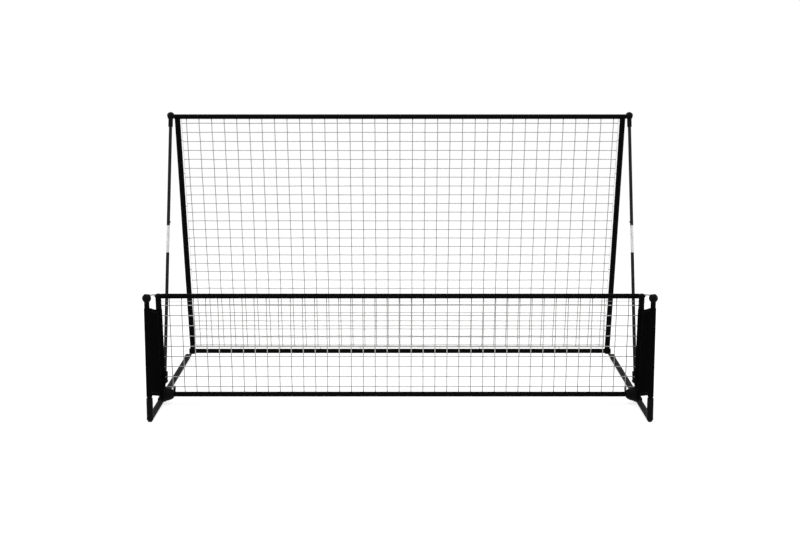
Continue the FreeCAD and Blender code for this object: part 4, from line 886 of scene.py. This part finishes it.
def thick_grid(rows, thickness):
    """Points and faces of a closed cloth layer round a grid of points, with a thickness each."""
    height, width = len(rows), len(rows[0])
    normals = []
    for i in range(height):
        line = []
        for j in range(width):
            down, up = rows[max(i - 1, 0)][j], rows[min(i + 1, height - 1)][j]
            left, right = rows[i][max(j - 1, 0)], rows[i][min(j + 1, width - 1)]
            line.append((right - left).cross(up - down).normalized())
        normals.append(line)
    points, faces = [], []
    for sign in (0.5, -0.5):
        for i in range(height):
            for j in range(width):
                points.append(rows[i][j] + sign * thickness[i][j] * normals[i][j])
    back = height * width
    for i in range(height - 1):
        for j in range(width - 1):
            corner = i * width + j
            faces.append((corner, corner + 1, corner + width + 1, corner + width))
            faces.append((back + corner, back + corner + width, back + corner + width + 1,
                          back + corner + 1))
    rim = (list(range(width)) + [i * width + width - 1 for i in range(1, height)]
           + [(height - 1) * width + j for j in range(width - 2, -1, -1)]
           + [i * width for i in range(height - 2, 0, -1)])
    for first, second in zip(rim, rim[1:] + rim[:1]):
        faces.append((second, first, back + first, back + second))
    return points, faces


def grid_uv(rows):
    """Length along a row and height above the ground, in metres, for both faces of the cloth."""
    uv = []
    for row in rows:
        run = 0.0
        for j, spot in enumerate(row):
            run += (spot - row[j - 1]).length if j else 0.0
            uv.append((run, spot.z))
    return uv + uv


class REBOUNDER_OT_side_panels(bpy.types.Operator):
    """Sews the two cloth side panels round the posts and the front side tubes"""
    bl_idname = "rebounder.side_panels"
    bl_label = "Side Panels"

    def execute(self, context):
        sizes = context.scene.rebounder_panel
        for side, sign in SIDES:
            place = PanelPlace(side)
            rows = wrinkled(panel_rows(place, sizes), sizes.wrinkle, sign)
            layers = [(rows, hem_thickness(rows, sizes))]
            for loops in sleeves(place, sizes):
                layers.append((loops, [[sizes.cloth] * len(loops[0])] * len(loops)))
            points, faces, uv = [], [], []
            for grid, thickness in layers:
                offset = len(points)
                more, more_faces = thick_grid(grid, thickness)
                points += more
                faces += [tuple(offset + corner for corner in face) for face in more_faces]
                uv += grid_uv(grid)
            panel = new_piece(f"side_panel_cloth_{side}", points, faces, "base",
                              woven_cloth(), uv)
            stitching = sew(rows, sizes).piece(f"side_panel_stitching_{side}", "base",
                                               "panel_fabric", sewing_thread())
            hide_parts(f"side_panel_{side}")
        return {"FINISHED"}


# Stitches

THREAD_SIDES = 5
# Two rows of stitches in each hem, as shares of its width
STITCH_INSETS = (0.35, 0.8)
# Rows and columns from an edge to the points that show which way is inward
HEM_ROWS, SEAM_COLUMNS = 6, 3
# Half a stitch against its pitch, and its height over the cloth's middle against the thickness
STITCH_REACH, STITCH_LIFT = 0.36, 1.02
# Places along a stitch: share of the reach, share of the lift, and the thread's radius
STITCH_SHAPE = ((-1.0, 0.8, 0.2 * MM), (-0.6, 1.1, 0.35 * MM), (0.6, 1.1, 0.35 * MM),
                (1.0, 0.8, 0.2 * MM))


def sew(rows, sizes):
    """Rows of stitches along the hems and seams, on both faces of the cloth."""
    sideways = Vector((1.0, 0.0, 0.0))
    radii = [radius for _, _, radius in STITCH_SHAPE]
    stitches = Strands(THREAD_SIDES)
    for line in stitch_lines(rows, sizes.hem):
        for spot, along in stitch_places(line, sizes.stitch):
            reach = along * sizes.stitch * STITCH_REACH
            for face in (1.0, -1.0):
                lift = face * sizes.cloth * STITCH_LIFT * sideways
                path = [spot + reach * share + lift * rise for share, rise, _ in STITCH_SHAPE]
                stitches.add(path, radii, sideways)
    return stitches


def stitch_lines(rows, hem):
    """Lines of points inside the four edges of the cloth."""
    columns = list(zip(*rows))
    lines = []
    for inset in STITCH_INSETS:
        for grid, inward in ((rows, HEM_ROWS), (columns, SEAM_COLUMNS)):
            for edge, inside in ((grid[0], grid[inward]), (grid[-1], grid[-1 - inward])):
                lines.append([spot + (inner - spot).normalized() * hem * inset
                              for spot, inner in zip(edge, inside)])
    return lines


def stitch_places(line, pitch):
    """Even places along a line of points, with the direction there."""
    places, left = [], pitch / 2
    for first, second in zip(line, line[1:]):
        way = second - first
        along = way.normalized()
        while left < way.length:
            places.append((first + along * left, along))
            left += pitch
        left -= way.length
    return places


# Thumbscrews

KNOB_RIDGES, RIDGE_POINTS, RIDGE_HALF_DEPTH = 20, 4, 0.25
# Height on the screw and radius in millimetres, and the share of the ridges' depth there
SCREW_PROFILE = ((5.45, 0.05, 0), (5.45, 2.1, 0), (5.9, 2.5, 0), (12.35, 2.5, 0), (12.35, 5.2, 0),
                 (12.9, 5.7, 0.6), (13.5, 5.75, 1), (18.9, 5.75, 1), (19.7, 5.6, 0.6),
                 (20.35, 4.9, 0), (20.35, 3.4, 0), (19.7, 3.0, 0), (19.7, 0.05, 0))


def knurled_screw(side, centre, axis):
    """A screw with a ridged knob, turned about its axis from a profile of rings."""
    sideways = axis.cross(Vector((1.0, 0.0, 0.0))).normalized()
    upward = axis.cross(sideways)
    sides = KNOB_RIDGES * RIDGE_POINTS
    points = []
    for height, radius, ridged in SCREW_PROFILE:
        for step in range(sides):
            angle = 2 * math.pi * step / sides
            raised = step % RIDGE_POINTS < RIDGE_POINTS / 2
            ridge = (RIDGE_HALF_DEPTH if raised else -RIDGE_HALF_DEPTH) * ridged
            reach = (radius + ridge) * MM
            points.append(centre + axis * height * MM
                          + reach * (math.cos(angle) * sideways + math.sin(angle) * upward))
    return new_piece(f"thumbscrew_knurled_{side}", points,
                     tube_faces(0, len(SCREW_PROFILE), sides), f"thumbscrew_{side}",
                     moulded_plastic(), smooth=False)


class REBOUNDER_OT_thumbscrews(bpy.types.Operator):
    """Turns the knurled thumbscrews that clamp the telescopic struts"""
    bl_idname = "rebounder.thumbscrews"
    bl_label = "Thumbscrews"

    def execute(self, context):
        joints = {joint["name"]: joint for joint in frame["joints"]}
        for side, _ in SIDES:
            joint = joints[f"thumbscrew_{side}_turn"]
            screw = knurled_screw(side, Vector(joint["pos_m"]), Vector(joint["axis"]).normalized())
            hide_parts(f"thumbscrew_{side}")
        return {"FINISHED"}


# Stage

WHITE = (1.0, 1.0, 1.0, 1.0)
SENSOR_WIDTH = 36.0
FLOOR_REACH = 40.0
FLOOR_GLOW, FLOOR_STRENGTH = 0.6, 1.29
WORLD_STRENGTH = 0.62
# Name, place, width and share of the lamp power
LAMPS = (("overhead_lamp", (0.0, -0.4, 4.2), 4.0, 1.0),
         ("side_lamp_left", (-4.0, -2.0, 2.6), 2.0, 0.4),
         ("side_lamp_right", (4.0, -2.0, 2.6), 2.0, 0.4))
LAMP_TARGET = Vector((0.0, 0.0, 0.4))


def seen_rays(tree):
    """One where the ray is a camera, glossy or transmission ray."""
    path = tree.nodes.new("ShaderNodeLightPath")
    either = math_node(tree, "MAXIMUM", path.outputs["Is Camera Ray"],
                       path.outputs["Is Glossy Ray"])
    return math_node(tree, "MAXIMUM", either, path.outputs["Is Transmission Ray"])


def floor_material():
    """Pale floor that keeps the object's shadow and meets a white backdrop."""
    material, tree, shader = start_material("Pale studio floor")
    shader.inputs["Base Color"].default_value = (*colours().floor, 1.0)
    shader.inputs["Roughness"].default_value = 0.9
    shader.inputs["Specular IOR Level"].default_value = 0.0
    glow = put(tree, "ShaderNodeEmission", Color=WHITE, Strength=FLOOR_STRENGTH)
    share = math_node(tree, "MULTIPLY", seen_rays(tree), FLOOR_GLOW)
    mix = put(tree, "ShaderNodeMixShader", Fac=share, i1=shader.outputs[0], i2=glow.outputs[0])
    tree.links.new(mix.outputs[0], tree.nodes["Material Output"].inputs["Surface"])
    return material


def studio_floor(context):
    mesh = bpy.data.meshes.new("studio_floor")
    corners = [(x * FLOOR_REACH, y * FLOOR_REACH, -CONTACT)
               for x, y in ((-1, -1), (1, -1), (1, 1), (-1, 1))]
    mesh.from_pydata(corners, [], [(0, 1, 2, 3)])
    mesh.materials.append(floor_material())
    floor = bpy.data.objects.new("studio_floor", mesh)
    context.scene.collection.objects.link(floor)


def studio_light(context, lamp_power):
    """A world that lights softly and is seen white, and three round lamps."""
    world = bpy.data.worlds.new("Studio")
    world.use_nodes = True
    tree = world.node_tree
    lit = tree.nodes["Background"]
    lit.inputs["Color"].default_value = WHITE
    lit.inputs["Strength"].default_value = WORLD_STRENGTH
    seen = put(tree, "ShaderNodeBackground", Color=WHITE, Strength=1.0)
    mix = put(tree, "ShaderNodeMixShader", Fac=seen_rays(tree), i1=lit.outputs[0],
              i2=seen.outputs[0])
    tree.links.new(mix.outputs[0], tree.nodes["World Output"].inputs["Surface"])
    context.scene.world = world
    for name, spot, width, share in LAMPS:
        data = bpy.data.lights.new(name, "AREA")
        data.shape = "DISK"
        data.size = width
        data.energy = lamp_power * share
        lamp = bpy.data.objects.new(name, data)
        lamp.location = spot
        lamp.rotation_mode = "QUATERNION"
        lamp.rotation_quaternion = (LAMP_TARGET - Vector(spot)).to_track_quat("-Z", "Y")
        context.scene.collection.objects.link(lamp)


def photo_camera(context, sizes):
    """A camera in front of the object's middle, looking down at it."""
    data = bpy.data.cameras.new("photo_camera")
    data.lens = sizes.focal
    data.sensor_width = SENSOR_WIDTH
    camera = bpy.data.objects.new("photo_camera", data)
    camera.location = (0.0, middle("post_left").y - sizes.distance, sizes.height)
    camera.rotation_euler = (math.pi / 2 - sizes.pitch, 0.0, 0.0)
    context.scene.collection.objects.link(camera)
    context.scene.camera = camera


class REBOUNDER_OT_stage(bpy.types.Operator):
    """Sets the pale studio floor, the soft light and the camera"""
    bl_idname = "rebounder.stage"
    bl_label = "Stage"

    def execute(self, context):
        sizes = context.scene.rebounder_stage
        studio_floor(context)
        studio_light(context, sizes.lamp_power)
        photo_camera(context, sizes)
        context.scene.view_settings.view_transform = "Standard"
        return {"FINISHED"}


# Panel and registration

OPERATORS = (REBOUNDER_OT_steel_tubes, REBOUNDER_OT_plastic_fittings, REBOUNDER_OT_plated_parts,
             REBOUNDER_OT_rear_net, REBOUNDER_OT_front_net, REBOUNDER_OT_net_ties,
             REBOUNDER_OT_side_panels, REBOUNDER_OT_thumbscrews, REBOUNDER_OT_stage)
GROUPS = {"rebounder_net": RebounderNetSizes, "rebounder_panel": RebounderPanelSizes,
          "rebounder_colours": RebounderColours, "rebounder_stage": RebounderStageSizes}


class REBOUNDER_PT_parts(bpy.types.Panel):
    bl_label = "Rebounder"
    bl_idname = "REBOUNDER_PT_parts"
    bl_space_type = "VIEW_3D"
    bl_region_type = "UI"
    bl_category = "Rebounder"

    def draw(self, context):
        for operator in OPERATORS:
            self.layout.operator(operator.bl_idname)
        for group in GROUPS:
            values = getattr(context.scene, group)
            for name in values.bl_rna.properties.keys():
                if name not in ("rna_type", "name"):
                    self.layout.prop(values, name)


def register():
    for group, kind in GROUPS.items():
        bpy.utils.register_class(kind)
        setattr(bpy.types.Scene, group, PointerProperty(type=kind))
    for kind in (*OPERATORS, REBOUNDER_PT_parts):
        bpy.utils.register_class(kind)


def unregister():
    for kind in (REBOUNDER_PT_parts, *reversed(OPERATORS)):
        bpy.utils.unregister_class(kind)
    for group, kind in GROUPS.items():
        delattr(bpy.types.Scene, group)
        bpy.utils.unregister_class(kind)


def main():
    register()
    for operator in OPERATORS:
        group, name = operator.bl_idname.split(".")
        getattr(getattr(bpy.ops, group), name)()
    bpy.context.view_layer.update()


if __name__ == "__main__":
    main()
